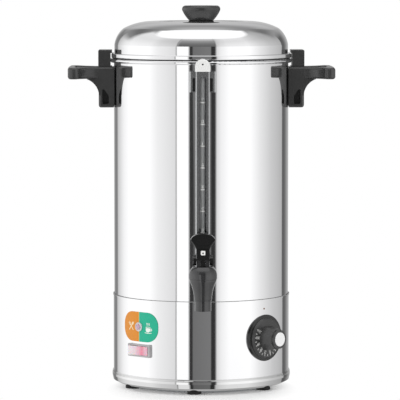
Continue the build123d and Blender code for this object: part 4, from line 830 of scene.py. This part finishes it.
def on_badge(mesh, x, y, turn=0.0):
    """Move flat artwork to its place on the badge and bend it to the skirt."""
    bm = bmesh.new()
    bm.from_mesh(mesh)
    bmesh.ops.triangulate(bm, faces=bm.faces[:])
    bmesh.ops.rotate(bm, verts=bm.verts, cent=(0, 0, 0), matrix=Matrix.Rotation(math.radians(turn), 3, "Z"))
    bmesh.ops.translate(bm, verts=bm.verts, vec=(x, y, 0))
    wrapped(bm, urn_axis, badge_face, math.radians(badge_azimuth), badge_height)
    bm.to_mesh(mesh)
    bm.free()
    return mesh


def merged(name, meshes):
    """One mesh from several."""
    bm = bmesh.new()
    for mesh in meshes:
        bm.from_mesh(mesh)
    result = bpy.data.meshes.new(name)
    bm.to_mesh(result)
    bm.free()
    return result


def stroke(points, width):
    """Outline of a line of even width through a few points."""
    left, right = [], []
    for i, (x, y) in enumerate(points):
        ahead, behind = points[min(i + 1, len(points) - 1)], points[max(i - 1, 0)]
        along = Vector((ahead[0] - behind[0], ahead[1] - behind[1])).normalized() * width / 2
        left.append((x - along.y, y + along.x))
        right.append((x + along.y, y - along.x))
    return left + right[::-1]


def ellipse(wide, high, x=0.0, y=0.0, start=0, end=360, steps=28):
    """Points of an ellipse, or of part of one."""
    span = [math.radians(start + (end - start) * i / steps) for i in range(steps + (end - start < 360))]
    return [(x + wide / 2 * math.cos(t), y + high / 2 * math.sin(t)) for t in span]


mm = 0.001
cup_bowl = ellipse(7.2 * mm, 7.6 * mm, start=180, end=360) + [(3.6 * mm, 1.2 * mm), (-3.6 * mm, 1.2 * mm)]
cup_art = [
    (plate_with_hole(cup_bowl, None, 2 * ink_proud), 0, -0.8),
    (plate_with_hole(ellipse(7.6 * mm, 1.9 * mm), ellipse(6.0 * mm, 0.9 * mm), 2 * ink_proud), 0, 1.6),
    (plate_with_hole(ellipse(3.6 * mm, 3.4 * mm), ellipse(2.0 * mm, 1.8 * mm), 2 * ink_proud), 4.2, -1.2),
    (plate_with_hole(ellipse(11.5 * mm, 1.9 * mm, start=180, end=360), None, 2 * ink_proud), 0, -5.0),
]
steam_wave = [(0.45 * mm * math.sin(0.9 * t), 0.62 * mm * t) for t in range(6)]
for shift in (-1.9, 0, 1.9):
    cup_art.append((plate_with_hole(stroke(steam_wave, 0.75 * mm), None, 2 * ink_proud), shift, 4.0))
cup_at = (14.8, -1.4)
placed_art = [on_badge(art, (cup_at[0] + x) * mm, (cup_at[1] + y) * mm) for art, x, y in cup_art]
cup_mesh = merged("badge_cup", placed_art)
finished("badge_cup", cup_mesh, badge_ink)

# The spoon leans left and the fork right, crossed at their handles.
tools_at = (-14.6, 0)
tool_handle = [(0, -6.2 * mm), (0, 2.4 * mm)]
tool_art = []
for turn in (-40, 40):
    outlines = [stroke(tool_handle, 1.3 * mm)]
    if turn < 0:
        outlines.append(ellipse(3.2 * mm, 5.0 * mm, y=4.6 * mm))
    else:
        for prong in (-1.2, 0, 1.2):
            outlines.append(stroke([(prong * mm, 2.2 * mm), (prong * mm, 6.6 * mm)], 0.7 * mm))
        outlines.append(stroke([(-1.55 * mm, 2.4 * mm), (1.55 * mm, 2.4 * mm)], 0.9 * mm))
    for outline in outlines:
        art = plate_with_hole(outline, None, 2 * ink_proud)
        tool_art.append(on_badge(art, tools_at[0] * mm, tools_at[1] * mm, turn))
finished("badge_tools", merged("badge_tools", tool_art), cream_ink)

grey_nylon = moulded("pale_grey_nylon", "#CFCED0", 0.4, 0.0008, 0.00001)
dress(grey_nylon, "lamp_body", "lamp_nut", "boil_dry_cutout", "terminal_block")


def clear_plastic(name, roughness, depth, stops, painted_light_reach=None):
    """Tinted clear polycarbonate. Its colour follows the flow of the melt, or runs from left to right over
    the given reach each side of the middle, which paints a highlight and a deepening of colour across the
    part."""
    material = bpy.data.materials.new(name)
    material.use_nodes = True
    tree = material.node_tree
    shader = tree.nodes["Principled BSDF"]
    shader.inputs["IOR"].default_value = 1.58
    shader.inputs["Transmission Weight"].default_value = depth
    shader.inputs["Subsurface Weight"].default_value = 0.25
    shader.inputs["Subsurface Scale"].default_value = 0.003
    place = add(tree, "ShaderNodeTexCoord").outputs["Object"]
    flow = add(tree, "ShaderNodeTexNoise", sockets={"Scale": 130.0, "Detail": 1.5}, links={"Vector": place})
    share = across_badge(tree, place, painted_light_reach) if painted_light_reach else flow.outputs["Fac"]
    tone = add(tree, "ShaderNodeValToRGB", links={"Fac": share}, stops=stops)
    tree.links.new(tone.outputs["Color"], shader.inputs["Base Color"])
    gloss = add(tree, "ShaderNodeMapRange", sockets={"To Min": roughness * 0.7, "To Max": roughness * 1.3},
                links={"Value": flow.outputs["Fac"]})
    tree.links.new(gloss.outputs["Result"], shader.inputs["Roughness"])
    return material


lens_plastic = clear_plastic("pink_polycarbonate", 0.18, 0.2,
                             [(0.35, linear("#DCC3D2")), (0.7, linear("#CFAAC0"))])
dress(lens_plastic, "lamp_lens")


# ---- Rocker switch ----
# Frame and housing are grey nylon with a satin metal-like finish. The rocker is clear red polycarbonate; its
# colour is painted across it, near white at the left end as a painted highlight, then pink and red toward the
# right.
frame_grey = moulded("satin_grey_nylon", "#B4B2B3", 0.3, 0.0006, 0.00001, ior=1.53)
dress(frame_grey, "switch_housing")
# The ramp across the rocker is painted light: a near-white painted highlight at its left end, pink to red
# toward its right.
rocker = clear_plastic("red_polycarbonate", 0.14, 0.1,
                       [(0.0, linear("#F4F0F2")), (0.35, linear("#F0DCE4")), (0.6, linear("#F2A9BD")),
                        (0.72, linear("#EE8CA4")), (0.85, linear("#F0BCCB"))], painted_light_reach=0.015)
dress(rocker, "switch_rocker")


# ---- Heater and wiring ----
# Inside the base: a cast aluminium spreader, a nickel-chrome sheathed element, copper sensor
# tubing, and brass contacts.
aluminium = zinc("cast_aluminium", "#B9BBBD", 0.0025, 0.5)
dress(aluminium, "heat_spreader")
sheath = metal("annealed_element_sheath", "#6E6863", 0.38, 0.00003, 0.08)
dress(sheath, "heating_element")
copper = metal("drawn_copper", "#D99A78", 0.24, 0.00001, 0.05)
dress(copper, "thermostat_bulb", "thermostat_capillary")
brass = metal("turned_brass", "#D8BE7A", 0.22, 0.00001, 0.05)
dress(brass, "inlet_pins", "earth_stud", "earth_nut")
